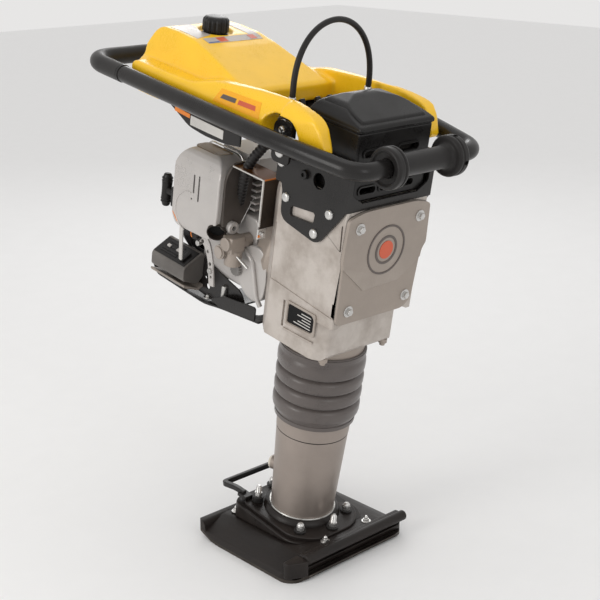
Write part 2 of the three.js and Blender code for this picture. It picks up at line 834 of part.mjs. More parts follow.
function recoilStarter() {
  const bell = turnedY(
    [
      [54, ENGINE_REAR + GAP],
      [59, ENGINE_REAR + GAP],
      [59, 284],
      [74, 286],
      [76, 300],
      [72, 312],
      [58, 322],
      [0, 326],
      [0, 316],
      [54, 312],
      [66, 304],
      [66, 292],
      [54, 290],
    ],
    0,
    PINION_Z,
    36,
  );
  const ear = block(-104, -58, 292, 305, 538, 574);
  const clearBell = turnedY([[0, 262], [66, 262], [66, 304], [54, 312], [0, 316]], 0, PINION_Z, 36);
  const ropeHole = rodY(5, -92, 556, 280, 320, 12);
  add("recoil_housing", cut(join(bell, ear), clearBell, ropeHole), BLACK_PLASTIC);
  const bar = rodZ(9.5, 0, 0, -35, 35, 14);
  const tilted = geometryOf(bar);
  tilted.rotateX(THREE.MathUtils.degToRad(12.5));
  tilted.translate(-92, 332, 556);
  const neck = turnedY([[0, 305 + GAP], [6, 305 + GAP], [9, 326], [0, 330]], -92, 556, 14);
  add("recoil_handle", join(solid(tilted), neck), BLACK_PLASTIC);
}

function muffler() {
  const side = outline([
    [165, 556, 12],
    [177, 522, 12],
    [268, 518, 12],
    [283, 534, 10],
    [283, 640, 22],
    [262, 662, 14],
    [186, 662, 14],
    [165, 642, 20],
  ]);
  const innerSide = outline([
    [168, 556, 10],
    [179, 525, 10],
    [266, 521, 10],
    [280, 534, 10],
    [280, 640, 20],
    [261, 659, 12],
    [187, 659, 12],
    [168, 641, 18],
  ]);
  const wall = 2.6;
  const shell = alongX(side, -118, -60, 4);
  const front = outline([
    [-118, 640, 20],
    [-100, 664, 10],
    [-58, 668],
    [-58, 560],
    [-82, 515],
    [-118, 515],
  ]);
  const shaped = shell.intersect(alongY(front, 150, 300, 4));
  const room = alongX(innerSide, -118 + wall, -50, 4);
  const slots = [208, 217].map((y, i) => block(-125, -105, y - 2, y + 2, 572 - i * 8, 628));
  const outlet = rodX(12, 196, 534, -130, -90, 16);
  add("muffler_cover", cut(shaped, room, ...slots, outlet), ENGINE_GREY);
  const can = block(-112, -64, 186, 264, 548, 636);
  const pipe = rodX(9, 196, 534, -116, -90, 14);
  const elbow = block(-108, -92, 190, 206, 532, 550);
  add("muffler", join(can, elbow, pipe), DARK_IRON);
}

function heatShieldAndHose() {
  const route = bentPath(
    [
      [-64, 18 + GAP, 720],
      [-64, 112, 718, 24],
      [-86, 146, 664, 30],
      [-88, 148, CARB_TOP + GAP],
    ],
    5,
  );
  add("intake_hose", tube(route, 9.5, 10), BLACK_PLASTIC);
  const top = block(-96, -52, 86, 160, 655, 657.5);
  const front = block(-96, -62, 84, 86.5, 574, 657.5);
  add("heat_shield", cut(join(top, front), tube(route, 12, 10)), DARK_IRON);
}
const CARB_TOP = 538;

function engineDetails() {
  const bowl = rodZ(15, -88, 148, 486, 512, 18);
  const throat = rodX(12, 148, 526, -110, BLOCK_RIGHT - GAP, 18);
  const body = block(-104, -75, 136, 160, 511, CARB_TOP);
  add("carburettor", join(bowl, throat, body), CAST_ALUMINIUM);

  const boxFace = outline([
    [-106, 404, 5],
    [-62, 404, 4],
    [-62, 424, 4],
    [-82, 432, 4],
    [-82, 448, 5],
    [-106, 438, 6],
  ]);
  add("ignition_box", alongY(boxFace, 264, 348), BLACK_PLASTIC);

  const guardProfile = outline([
    [85, 398],
    [190, 384],
    [226, 376],
    [366, 380],
    [378, 396],
    [376, 402],
    [364, 384.5],
    [226, 381],
    [191, 389],
    [85, 403],
  ]);
  const guard = alongX(guardProfile, -74, 70);
  const windows = [
    [110, 170],
    [240, 290],
    [304, 352],
  ].map(([y0, y1]) => block(-52, 48, y0, y1, 360, 420));
  const posts = [-50, 52].map((x) => block(x - 5, x + 5, 200, 214, 382, 433.7));
  const lug = block(-40, 40, CASE_REAR + GAP, 96, 398, 414);
  add("belly_guard", join(cut(guard, ...windows), ...posts, lug), DARK_IRON);

  const seat = BLOCK_RIGHT - GAP;
  const dipstick = join(
    rodX(11, FILLER_Y, FILLER_AXIS_Z, seat - 17, seat, 16),
    rodX(7.4, FILLER_Y, FILLER_AXIS_Z, seat - 1, seat + 13, 14),
  );
  add("oil_filler_cap", dipstick, BLACK_PLASTIC);
}

// ---- Handle, tank and top cover -------------------------------------------------------------------
function handle() {
  const bend = 32;
  const side = (sign) => [
    [sign * HANDLE_HALF, GRIP_SEAM, HANDLE_Z],
    [sign * HANDLE_HALF, 0, HANDLE_Z, 160],
    [sign * 131, ROLLER_Y, ROLLER_Z, bend],
  ];
  const path = bentPath([...side(-1), ...side(1).reverse()], 5);
  const frame = tube(path, TUBE_RADIUS, 12);
  const brackets = [-1, 1].map((sign) => {
    const flag = alongX(
      outline([
        [MOUNT_Y - 20, MOUNT_Z - 18, 10],
        [MOUNT_Y + 20, MOUNT_Z - 18, 10],
        [MOUNT_Y + 20, 776, 16],
        [MOUNT_Y - 20, 776, 16],
      ]),
      Math.min(sign * 117, sign * 122),
      Math.max(sign * 117, sign * 122),
    );
    const shelf = block(
      Math.min(sign * 120, sign * 150),
      Math.max(sign * 120, sign * 150),
      MOUNT_Y - 12,
      MOUNT_Y + 12,
      742,
      747,
    );
    return join(flag, shelf);
  });
  add("handle_frame", join(frame, ...brackets), BLACK_STEEL);

  const grip = bentPath(
    [
      [-HANDLE_HALF, GRIP_SEAM + GAP, HANDLE_Z],
      [-HANDLE_HALF, GRIP_REAR, HANDLE_Z, 62],
      [HANDLE_HALF, GRIP_REAR, HANDLE_Z, 62],
      [HANDLE_HALF, GRIP_SEAM + GAP, HANDLE_Z],
    ],
    7,
  );
  add("rear_grip", tube(grip, GRIP_RADIUS, 14), GRIP_RUBBER);

  const bore = TUBE_RADIUS + 0.8;
  const roller = turnedX(
    [
      [bore, -ROLLER_HALF + 6],
      [24, -ROLLER_HALF + 4],
      [26, -ROLLER_HALF],
      [ROLLER_RADIUS - 3, -ROLLER_HALF],
      [ROLLER_RADIUS, -ROLLER_HALF + 3],
      [ROLLER_RADIUS, -59],
      [ROLLER_RADIUS - 3, -56],
      [19, -55],
      [17.5, -48],
      [17.5, 48],
      [19, 55],
      [ROLLER_RADIUS - 3, 56],
      [ROLLER_RADIUS, 59],
      [ROLLER_RADIUS, ROLLER_HALF - 3],
      [ROLLER_RADIUS - 3, ROLLER_HALF],
      [26, ROLLER_HALF],
      [24, ROLLER_HALF - 4],
      [bore, ROLLER_HALF - 6],
    ],
    ROLLER_Y,
    ROLLER_Z,
    28,
  );
  add("roller", roller, GRIP_RUBBER);

  for (const [name, sign] of [["shock_mount_right", -1], ["shock_mount_left", 1]]) {
    const x0 = sign * (PLATE_INNER + PLATE_THICKNESS + GAP);
    const x1 = sign * (117 - GAP);
    const rubber = rodX(17, MOUNT_Y, MOUNT_Z, Math.min(x0, x1), Math.max(x0, x1), 20);
    add(name, rubber, RUBBER);
  }
}

function fuelTank() {
  const humpSide = outline([
    [402, 722, 10],
    [430, 768, 8],
    [424, 786, 10],
    [406, 826, 16],
    [316, HUMP_TOP, 40],
    [150, 782, 6],
    [150, 752, 4],
    [318, 752, 4],
    [326, 722, 8],
  ]);
  const humpSection = outline([
    [-125, 700],
    [-125, 770, 6],
    [-91, 777, 8],
    [-71, 840],
    [71, 840],
    [91, 777, 8],
    [125, 770, 6],
    [125, 700],
  ]);
  const humpPlan = outline([
    [-125, 396, 14],
    [-80, 426, 40],
    [80, 426, 40],
    [125, 396, 14],
    [125, 140],
    [-125, 140],
  ]);
  const hump = alongX(humpSide, -125, 125, 5)
    .intersect(alongY(humpSection, 100, 440, 4))
    .intersect(alongZ(humpPlan, 700, 900, 4));
  const saddleSide = outline([
    [242, 752],
    [242, 778],
    [200, 791, 12],
    [150, 780, 4],
    [150, 752],
  ]);
  const saddle = alongX(saddleSide, -104, 104, 4);
  const armSide = outline([
    [390, 752, 4],
    [396, 766, 4],
    [388, 777, 6],
    [236, 779, 20],
    [190, 794, 30],
    [98, 802, 60],
    [2, 807, 60],
    [-66, 792, 34],
    [-74, 748, 8],
    [-60, 744, 4],
  ]);
  const archSide = outline([
    [MOUNT_Y - 38, 730],
    [MOUNT_Y + 38, 730],
    [MOUNT_Y + 36, 784, 26],
    [MOUNT_Y - 36, 784, 26],
  ]);
  const arms = [-1, 1].map((sign) => {
    const plan = outline([
      [sign * 138, 394, 6],
      [sign * 138, 14, 30],
      [sign * 121, -80],
      [sign * 106, -80],
      [sign * 102, 60, 20],
      [sign * 102, 394],
    ]);
    const section = outline([
      [sign * 138, 740],
      [sign * 138, 770, 10],
      [sign * 122, 799, 12],
      [sign * 101, 812],
      [sign * 101, 740],
    ]);
    const arm = alongX(armSide, Math.min(sign * 138, sign * 101), Math.max(sign * 138, sign * 101));
    return arm.intersect(alongZ(plan, 700, 900)).intersect(alongY(section, -100, 400));
  });
  const arch = alongX(archSide, -160, 160);
  const hollowSide = outline([
    [398, 728, 8],
    [422, 768, 8],
    [417, 784, 8],
    [400, 819, 14],
    [316, 822, 40],
    [158, 776, 4],
    [158, 757, 4],
    [324, 757, 4],
    [332, 728, 6],
  ]);
  const hollowSection = outline([
    [-118, 700],
    [-118, 764, 6],
    [-85, 771, 8],
    [-64, 840],
    [64, 840],
    [85, 771, 8],
    [118, 764, 6],
    [118, 700],
  ]);
  const hollowPlan = outline([
    [-118, 391, 12],
    [-77, 418, 36],
    [77, 418, 36],
    [118, 391, 12],
    [118, 150],
    [-118, 150],
  ]);
  const hollow = cut(
    alongX(hollowSide, -118, 118, 4)
      .intersect(alongY(hollowSection, 100, 440, 4))
      .intersect(alongZ(hollowPlan, 700, 900, 4)),
    rodZ(CAP_RADIUS + 12, CAP_X, CAP_Y, FILLER_Z - 6, 900, 28),
  );
  const neck = rodZ(16, CAP_X, CAP_Y, 800, 900, 20);
  const seat = rodZ(CAP_RADIUS + 6, CAP_X, CAP_Y, FILLER_Z, 900, 28);
  const ring = turned(
    [
      [16, FILLER_Z - 8],
      [22, FILLER_Z - 8],
      [22, FILLER_Z],
      [16, FILLER_Z],
    ],
    CAP_X,
    CAP_Y,
    20,
  );
  const skin = cut(join(hump, saddle, cut(join(...arms), arch)), hollow, seat, neck);
  add("fuel_tank", join(skin, ring), YELLOW);

  const rim = turned(
    [
      [9, FILLER_Z + GAP],
      [19, FILLER_Z + GAP],
      [19, FILLER_Z + 3],
      [9, FILLER_Z + 3],
    ],
    CAP_X,
    CAP_Y,
    24,
  );
  add("cap_gasket", rim, RUBBER);
  const cap = turned(
    [
      [0, FILLER_Z + 3 + GAP],
      [CAP_RADIUS, FILLER_Z + 3 + GAP],
      [CAP_RADIUS, FILLER_Z + 22],
      [CAP_RADIUS - 5, FILLER_Z + 28],
      [0, FILLER_Z + 30],
    ],
    CAP_X,
    CAP_Y,
    24,
  );
  add("fuel_cap", cap, BLACK_PLASTIC);

  const floor = block(-126, 126, 112, 316, 742, 746);
  const cheek = outline([
    [112, 708],
    [150, 704, 6],
    [318, 736, 4],
    [318, 746],
    [112, 746],
  ]);
  const cheeks = [-1, 1].map((sign) =>
    alongX(cheek, Math.min(sign * 126, sign * 130), Math.max(sign * 126, sign * 130)),
  );
  const tabs = [-1, 1].map((sign) =>
    block(Math.min(sign * 128, sign * 143), Math.max(sign * 128, sign * 143), 180, 210, 742, 746),
  );
  add("tank_frame", join(floor, ...cheeks, ...tabs), BLACK_STEEL);
}
const FILLER_Z = 821;

function throttle() {
  const pivot = HANDLE_Z - 31.5; // the lever hangs under the left side tube
  const clamp = cut(
    block(138, 178, 286, 306, HANDLE_Z - 22, HANDLE_Z + 6),
    rodY(TUBE_RADIUS + GAP, HANDLE_HALF, HANDLE_Z, 270, 320, 20),
    block(170, 190, 270, 320, HANDLE_Z - 12, HANDLE_Z + 10),
  );
  add("throttle_bracket", clamp, BLACK_PLASTIC);
  const lever = join(
    rodX(9, 296, pivot, 146, 168, 16),
    block(152, 162, 290, 302, pivot - 34.5, pivot - 2.5),
    rodX(8, 296, pivot - 34.5, 150, 164, 14),
  );
  add("throttle_lever", lever, BLACK_PLASTIC);
}

function airFilter() {
  const front = outline([
    [-80, 676, 8],
    [80, 676, 8],
    [80, 785],
    [-80, 785],
  ]);
  const box = alongY(front, -92, 18, 4);
  const room = block(-74, 74, -86, 12, 684, 790);
  const louvres = [];
  for (const x of [-62, -22, 22, 62])
    for (const z of [690, 706]) louvres.push(block(x - 14, x + 14, -95, -88.5, z, z + 8));
  const port = rodX(10, 0, 720, -90, -70, 16);
  add("air_filter_box", cut(box, room, ...louvres, port), BLACK_PLASTIC);
  const lidSide = outline([
    [-94, 786],
    [-92, 792, 4],
    [-10, 818, 14],
    [14, 812, 8],
    [20, 786],
  ]);
  const lidFront = outline([
    [-82, 780],
    [82, 780],
    [80, 795, 6],
    [62, 814, 18],
    [0, 824, 40],
    [-62, 814, 18],
    [-80, 795, 6],
  ]);
  const lid = alongX(lidSide, -82, 82).intersect(alongY(lidFront, -100, 30));
  add("air_filter_lid", cut(lid, block(-74, 74, -86, 12, 780, 792)), BLACK_PLASTIC);
  add("filter_element", block(-66, 66, -76, 4, 690, 778), GRIP_RUBBER);
}

function lifting() {
  const uprights = [-1, 1].map((sign) =>
    block(
      Math.min(sign * 76, sign * 89.5),
      Math.max(sign * 76, sign * 89.5),
      44,
      66,
      CASE_TOP - 24,
      776,
    ),
  );
  const bar = block(-80, 80, 50, 62, 756, 768);
  const clear = block(-95, 95, 30, 90, 600, CASE_TOP + GAP);
  add("lifting_bracket", cut(join(...uprights, bar), clear), BLACK_STEEL);
  for (const [name, sign] of [["ferrule_right", -1], ["ferrule_left", 1]])
    add(name, rodZ(6.8, sign * 83, 55, 776 + GAP, 800, 14), ZINC);
  const arch = [];
  const half = 83;
  const rise = 117;
  const steps = 18;
  arch.push(new THREE.Vector3(-half, 55, 800 + GAP));
  for (let i = 0; i <= steps; i += 1) {
    const angle = Math.PI * (1 - i / steps);
    arch.push(
      new THREE.Vector3(
        half * Math.cos(angle),
        55 + 7 * Math.sin(angle),
        808 + (rise - 13) * Math.sin(angle) ** 0.86,
      ),
    );
  }
  arch.push(new THREE.Vector3(half, 55, 800 + GAP));
  add("lifting_cable", tube(arch, 4.8, 10), BLACK_PLASTIC);
}

shoe();
footFlange();
flangeBolts();
footHandle();
leg();
ram();
guide();
crankcase();
crankcaseCover();
sidePlates();
gearTrain();
engine();
handle();
fuelTank();
throttle();
airFilter();
lifting();

export default rammer;
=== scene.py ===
# The jumping jack rammer's looks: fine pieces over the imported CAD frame.
# Shapes are drawn in millimetres along the leg ("lean": x, y backward, z up the leg) or on the ground.
import json
import math

import bpy
import bmesh

from mathutils import Matrix, Vector
from mathutils.bvhtree import BVHTree


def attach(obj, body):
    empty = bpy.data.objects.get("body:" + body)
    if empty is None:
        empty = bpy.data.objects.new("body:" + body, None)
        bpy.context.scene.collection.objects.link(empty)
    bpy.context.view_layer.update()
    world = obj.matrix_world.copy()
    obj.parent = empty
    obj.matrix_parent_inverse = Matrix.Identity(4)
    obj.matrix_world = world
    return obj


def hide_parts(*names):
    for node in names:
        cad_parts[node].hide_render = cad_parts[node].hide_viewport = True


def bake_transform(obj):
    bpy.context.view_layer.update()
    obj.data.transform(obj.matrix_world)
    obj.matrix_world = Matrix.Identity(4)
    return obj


bpy.context.scene.view_settings.view_transform = "Standard"
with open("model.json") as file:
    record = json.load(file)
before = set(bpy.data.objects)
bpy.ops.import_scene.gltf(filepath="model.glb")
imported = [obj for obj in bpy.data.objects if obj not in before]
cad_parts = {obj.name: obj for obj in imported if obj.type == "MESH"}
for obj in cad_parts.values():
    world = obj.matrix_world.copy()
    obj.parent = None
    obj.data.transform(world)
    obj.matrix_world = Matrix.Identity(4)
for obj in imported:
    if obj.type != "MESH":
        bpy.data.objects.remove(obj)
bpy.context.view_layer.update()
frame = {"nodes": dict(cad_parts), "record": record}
GROUND = Matrix.Scale(0.001, 4)
LEAN = Matrix.Translation((0, 0.011, 0)) @ Matrix.Rotation(math.radians(9.4), 4, "X") @ GROUND
SIDES = ((-1, "right"), (1, "left"))
# Places along the leg: (backward, up), or (sideways, up) for the starter.
MOUNT, ROLLER, STARTER = (28, 726), (-145, 749), (-92, 558)
CRANK_UP, BADGE_UP, RECOIL_UP = 586, 592, 506
TUBE_SIDE, TUBE_UP, CAP_BACK = 157.8, 755, 346


def finish_look(
    name, color, rough, metal=0.0, grain=0.0009, bump=0.12, speck=0.08, blotch=0.12, wear=0.0,
    edge=None, coat=0.0, spread=0.1, streak=None, sheen=0.0, slot=None,
):
    """A procedural finish: large blotches, fine speckle, varied gloss, fine bump and worn edges.
    It stands for the record's material slot of its own name; its slot argument is not used."""
    made = bpy.data.materials.new(name)
    made.use_nodes = True
    tree = made.node_tree
    shader = tree.nodes["Principled BSDF"]
    shader.inputs["Metallic"].default_value = metal
    shader.inputs["Coat Weight"].default_value = coat
    if max(color) < 0.04:
        shader.inputs["Specular IOR Level"].default_value = 0.3
    shader.inputs["Coat Roughness"].default_value = 0.12
    shader.inputs["Sheen Weight"].default_value = sheen

    def node(kind, **settings):
        n = tree.nodes.new(kind)
        for key, value in settings.items():
            if key in n.inputs:
                n.inputs[key].default_value = value
            else:
                setattr(n, key, value)
        return n

    def mix(factor, a, b, blend="MIX"):
        n = node("ShaderNodeMix", data_type="RGBA", blend_type=blend)
        for socket, value in ((n.inputs[0], factor), (n.inputs[6], a), (n.inputs[7], b)):
            if isinstance(value, bpy.types.NodeSocket):
                tree.links.new(value, socket)
            else:
                socket.default_value = value
        return n.outputs[2]

    def span(value, low, high, to_low, to_high):
        n = node("ShaderNodeMapRange")
        tree.links.new(value, n.inputs[0])
        for i, number in enumerate((low, high, to_low, to_high)):
            n.inputs[i + 1].default_value = number
        return n.outputs[0]

    where = node("ShaderNodeTexCoord").outputs["Object"]
    if streak:
        squeeze = node("ShaderNodeMapping")
        squeeze.inputs["Scale"].default_value = streak
        tree.links.new(where, squeeze.inputs["Vector"])
        fine_at = squeeze.outputs[0]
    else:
        fine_at = where
    fine = node("ShaderNodeTexNoise", Scale=0.5 / grain, Detail=4.0, Roughness=0.6)
    tree.links.new(fine_at, fine.inputs["Vector"])
    broad = node("ShaderNodeTexNoise", Scale=14.0, Detail=5.0, Roughness=0.62)
    tree.links.new(where, broad.inputs["Vector"])
    dots = node("ShaderNodeTexVoronoi", Scale=0.8 / grain)
    tree.links.new(where, dots.inputs["Vector"])

    base = (*color, 1)
    dark = tuple(c * (1 - blotch) for c in color) + (1,)
    light = tuple(min(1, c * (1 + blotch)) for c in color) + (1,)
    shade = mix(span(broad.outputs[0], 0.34, 0.66, 0, 1), dark, light)
    shade = mix(span(fine.outputs[0], 0.42, 0.6, 0, 0.5), shade, base)
    spot = tuple(c * (1 - speck * 3) for c in color) + (1,)
    shade = mix(span(dots.outputs[0], 0.0, 0.25, speck * 2, 0), shade, spot)
    if wear:
        rim = node("ShaderNodeNewGeometry").outputs["Pointiness"]
        worn = tree.nodes.new("ShaderNodeMath")
        worn.operation = "MULTIPLY"
        tree.links.new(span(rim, 0.52, 0.6, 0, wear), worn.inputs[0])
        tree.links.new(span(broad.outputs[0], 0.4, 0.6, 0.3, 1), worn.inputs[1])
        shade = mix(worn.outputs[0], shade, (*(edge or [min(1, c * 1.6) for c in color]), 1))
    tree.links.new(shade, shader.inputs["Base Color"])
    gloss = tree.nodes.new("ShaderNodeMath")
    gloss.operation = "ADD"
    tree.links.new(span(broad.outputs[0], 0.3, 0.7, rough - spread, rough + spread), gloss.inputs[0])
    tree.links.new(span(fine.outputs[0], 0.3, 0.7, -0.05, 0.06), gloss.inputs[1])
    tree.links.new(gloss.outputs[0], shader.inputs["Roughness"])
    relief = node("ShaderNodeBump", Strength=bump, Distance=grain * 0.5)
    tree.links.new(fine.outputs[0], relief.inputs["Height"])
    tree.links.new(relief.outputs[0], shader.inputs["Normal"])
    return made


FINISHES = {
    "shoe_black": dict(color=(0.013, 0.0095, 0.008), rough=0.42, grain=0.0012, bump=0.25, blotch=0.3,
        wear=0.25, edge=(0.07, 0.055, 0.045)),
    "sole_steel": dict(color=(0.03, 0.024, 0.02), rough=0.45, metal=0.5, bump=0.3, blotch=0.3, wear=0.7,
        edge=(0.2, 0.18, 0.16)),
    "foot_iron": dict(color=(0.015, 0.0115, 0.01), rough=0.36, metal=0.1, grain=0.0014, bump=0.4,
        blotch=0.25, wear=0.35, edge=(0.1, 0.085, 0.075)),
    "black_steel": dict(color=(0.01, 0.0088, 0.0084), rough=0.3, grain=0.0006, bump=0.12, blotch=0.15,
        wear=0.25, edge=(0.06, 0.054, 0.05), coat=0.12),
    "cast_aluminium": dict(color=(0.345, 0.295, 0.255), rough=0.5, metal=0.35, grain=0.0011, bump=0.5,
        speck=0.1, blotch=0.09, wear=0.5, edge=(0.72, 0.68, 0.64)),
    "leg_aluminium": dict(color=(0.33, 0.282, 0.25), rough=0.4, metal=0.55, grain=0.0008, bump=0.18,
        speck=0.06, blotch=0.1, wear=0.3, edge=(0.7, 0.66, 0.62), streak=(1, 1, 9), slot="cast_aluminium"),
    "engine_grey": dict(color=(0.5, 0.475, 0.455), rough=0.36, metal=0.3, grain=0.0008, bump=0.12,
        speck=0.05, blotch=0.06, wear=0.3, edge=(0.8, 0.78, 0.75)),
    "cover_top": dict(color=(0.16, 0.12, 0.09), rough=0.42, metal=0.3, grain=0.0008, bump=0.2, blotch=0.2,
        slot="engine_grey"),
    "exhaust_iron": dict(color=(0.035, 0.028, 0.024), rough=0.6, metal=0.4, bump=0.4, blotch=0.4, wear=0.3,
        edge=(0.16, 0.09, 0.04)),
    "heat_orange": dict(color=(0.2, 0.075, 0.02), rough=0.38, metal=0.5, grain=0.0007, bump=0.15,
        blotch=0.35, streak=(1, 8, 1), slot="exhaust_iron"),
    "orange_edge": dict(color=(0.75, 0.22, 0.03), rough=0.4, metal=0.2, blotch=0.15, slot="exhaust_iron"),
    "sight_glass": dict(color=(0.62, 0.56, 0.46), rough=0.18, bump=0.05, speck=0.02, blotch=0.08, coat=0.6),
    "bright_steel": dict(color=(0.5, 0.49, 0.47), rough=0.28, metal=0.9, grain=0.0005, bump=0.15,
        blotch=0.12, streak=(1, 1, 6)),
    "zinc": dict(color=(0.6, 0.59, 0.575), rough=0.25, metal=0.85, grain=0.0005, bump=0.2, speck=0.1,
        blotch=0.18, wear=0.3, edge=(0.85, 0.85, 0.84)),
    "bellows_rubber": dict(color=(0.095, 0.08, 0.074), rough=0.33, grain=0.0007, bump=0.16, blotch=0.15,
        speck=0.05, wear=0.3, edge=(0.24, 0.21, 0.2), sheen=0.15),
    "black_rubber": dict(color=(0.011, 0.0095, 0.009), rough=0.45, grain=0.0006, bump=0.25, blotch=0.2,
        wear=0.2, edge=(0.06, 0.055, 0.05), sheen=0.1),
    "black_plastic": dict(color=(0.008, 0.0073, 0.007), rough=0.32, grain=0.0007, bump=0.22, speck=0.04,
        blotch=0.2, wear=0.15, edge=(0.05, 0.047, 0.045)),
    "filter_foam": dict(color=(0.05, 0.045, 0.04), rough=0.95, grain=0.0022, bump=1.0, speck=0.25),
    "tank_yellow": dict(color=(0.95, 0.56, 0.013), rough=0.3, grain=0.0011, bump=0.12, speck=0.025,
        blotch=0.05, spread=0.05, coat=0.15),
    "label_grey": dict(color=(0.42, 0.38, 0.35), rough=0.3, grain=0.001, bump=0.03, speck=0.12, blotch=0.2,
        slot="tank_yellow"),
    "label_red": dict(color=(0.6, 0.1, 0.04), rough=0.32, bump=0.03, blotch=0.1, slot="tank_yellow"),
    "label_blue": dict(color=(0.07, 0.12, 0.3), rough=0.32, bump=0.03, blotch=0.1, slot="tank_yellow"),
    "label_amber": dict(color=(0.93, 0.42, 0.006), rough=0.28, bump=0.03, blotch=0.05, slot="tank_yellow"),
    "plate_silver": dict(color=(0.62, 0.6, 0.57), rough=0.34, metal=0.5, grain=0.0006, bump=0.08,
        blotch=0.1, streak=(1, 7, 1), slot="zinc"),
    "badge_dark": dict(color=(0.12, 0.1, 0.09), rough=0.4, metal=0.2, bump=0.1, slot="cast_aluminium"),
    "black_void": dict(color=(0.004, 0.004, 0.004), rough=0.8, bump=0.05, slot="black_plastic"),
    "tray_beige": dict(color=(0.27, 0.235, 0.205), rough=0.5, metal=0.1, bump=0.2, slot="engine_grey"),
    "engine_grey_dark": dict(color=(0.1, 0.09, 0.082), rough=0.4, metal=0.2, grain=0.0008, bump=0.2,
        blotch=0.1, wear=0.4, edge=(0.5, 0.48, 0.45), slot="black_plastic"),
    "plate_grey": dict(color=(0.2, 0.19, 0.18), rough=0.35, metal=0.3, bump=0.15, wear=0.5,
        edge=(0.6, 0.58, 0.56), slot="black_plastic"),
    # The muffler cover's front face: its dark colour is painted shade.
    "painted_shade_cover": dict(color=(0.07, 0.058, 0.05), rough=0.42, metal=0.3, grain=0.0008, bump=0.15,
        blotch=0.2, wear=0.3, edge=(0.4, 0.38, 0.36), slot="engine_grey"),
}
LOOKS = {name: finish_look(name, **made_of) for name, made_of in FINISHES.items()}
for part in frame["record"]["subparts"]:
    cad = frame["nodes"].get(part["node"])
    if cad:
        cad.data.materials.clear()
        cad.data.materials.append(LOOKS[part["material_slot"]])
        cad.data.set_sharp_from_angle(angle=math.radians(32))


# ---- Shape tools -----------------------------------------------------------------------------
def as_object(vertices, faces, name="shape"):
    mesh = bpy.data.meshes.new(name)
    mesh.from_pydata([tuple(v) for v in vertices], [], faces)
    tidy = bmesh.new()
    tidy.from_mesh(mesh)
    bmesh.ops.remove_doubles(tidy, verts=tidy.verts, dist=1e-4)
    bmesh.ops.dissolve_degenerate(tidy, edges=tidy.edges, dist=1e-4)
    bmesh.ops.recalc_face_normals(tidy, faces=tidy.faces)
    tidy.to_mesh(mesh)
    tidy.free()
    made = bpy.data.objects.new(name, mesh)
    bpy.context.scene.collection.objects.link(made)
    return made


def apply(made):
    graph = bpy.context.evaluated_depsgraph_get()
    fresh = bpy.data.meshes.new_from_object(made.evaluated_get(graph), depsgraph=graph)
    made.modifiers.clear()
    stale, made.data = made.data, fresh
    bpy.data.meshes.remove(stale)
    return made


def modify(made, kind, **settings):
    modifier = made.modifiers.new(kind.lower(), kind)
    for key, value in settings.items():
        setattr(modifier, key, value)
    return apply(made)


def outline(corners, step=0.2):
    """A closed outline whose corners (a, b, round) start their arcs 'round' from the corner."""
    points = []
    for i, corner in enumerate(corners):
        p = Vector(corner[:2])
        if len(corner) < 3:
            points.append(p)
            continue
        a = Vector(corners[i - 1][:2]) - p
        b = Vector(corners[(i + 1) % len(corners)][:2]) - p
        reach = min(corner[2], 0.48 * a.length, 0.48 * b.length)
        a.normalize()
        b.normalize()
        half = math.acos(max(-1.0, min(1.0, a.dot(b)))) / 2
        if half > 1.54:
            points.append(p)
            continue
        radius = reach * math.tan(half)
        centre = p + (a + b).normalized() * (radius / math.sin(half))
        start, end = p + a * reach - centre, p + b * reach - centre
        sweep = math.atan2(start.x * end.y - start.y * end.x, start.dot(end))
        steps = max(2, round(abs(sweep) / step))
        for k in range(steps + 1):
            turn = Matrix.Rotation(sweep * k / steps, 2)
            points.append(centre + turn @ start)
    return points


def prism(axis, corners, low, high, step=0.2):
    """Corners are (y, z), (x, z) or (x, y) for axis x, y or z."""
    ring = outline(corners, step)
    place = {"x": lambda a, b, t: (t, a, b), "y": lambda a, b, t: (a, t, b), "z": lambda a, b, t: (a, b, t)}
    n = len(ring)
    vertices = [place[axis](p.x, p.y, t) for t in (low, high) for p in ring]
    faces = [tuple(range(n)), tuple(range(n, 2 * n))]
    faces += [(i, (i + 1) % n, n + (i + 1) % n, n + i) for i in range(n)]
    return as_object(vertices, faces)


def block(x0, x1, y0, y1, z0, z1):
    return prism("z", [(x0, y0), (x1, y0), (x1, y1), (x0, y1)], z0, z1)


def soft_block(x0, x1, y0, y1, z0, z1, width, segments=3):
    return soften(block(x0, x1, y0, y1, z0, z1), width, segments)


def slab(axis, corners, low, high, width, segments=3):
    return soften(prism(axis, corners, low, high), width, segments)


def both(side, a, b):
    """Two distances from the middle plane as coordinates on one side, the lower one first."""
    return sorted((side * a, side * b))


def lathe(profile, axis="z", at=(0, 0), sides=72, closed=True):
    """Profile corners are (radius, height, round)."""
    ring = outline(profile)
    place = {
        "z": lambda r, t, h: (at[0] + r * math.cos(t), at[1] + r * math.sin(t), h),
        "x": lambda r, t, h: (h, at[0] + r * math.cos(t), at[1] + r * math.sin(t)),
        "y": lambda r, t, h: (at[0] + r * math.cos(t), h, at[1] + r * math.sin(t)),
    }[axis]
    n = len(ring)
    vertices = [place(max(0, p.x), math.tau * s / sides, p.y) for s in range(sides) for p in ring]
    faces = []
    for s in range(sides):
        t = (s + 1) % sides
        for i in range(n if closed else n - 1):
            j = (i + 1) % n
            if ring[i].x < 1e-6 and ring[j].x < 1e-6:
                continue
            faces.append((s * n + i, t * n + i, t * n + j, s * n + j))
    return as_object(vertices, faces)


def rod(axis, radius, at, low, high, edge=0.8, sides=40):
    return lathe([(0, low), (radius, low, edge), (radius, high, edge), (0, high)], axis, at, sides)


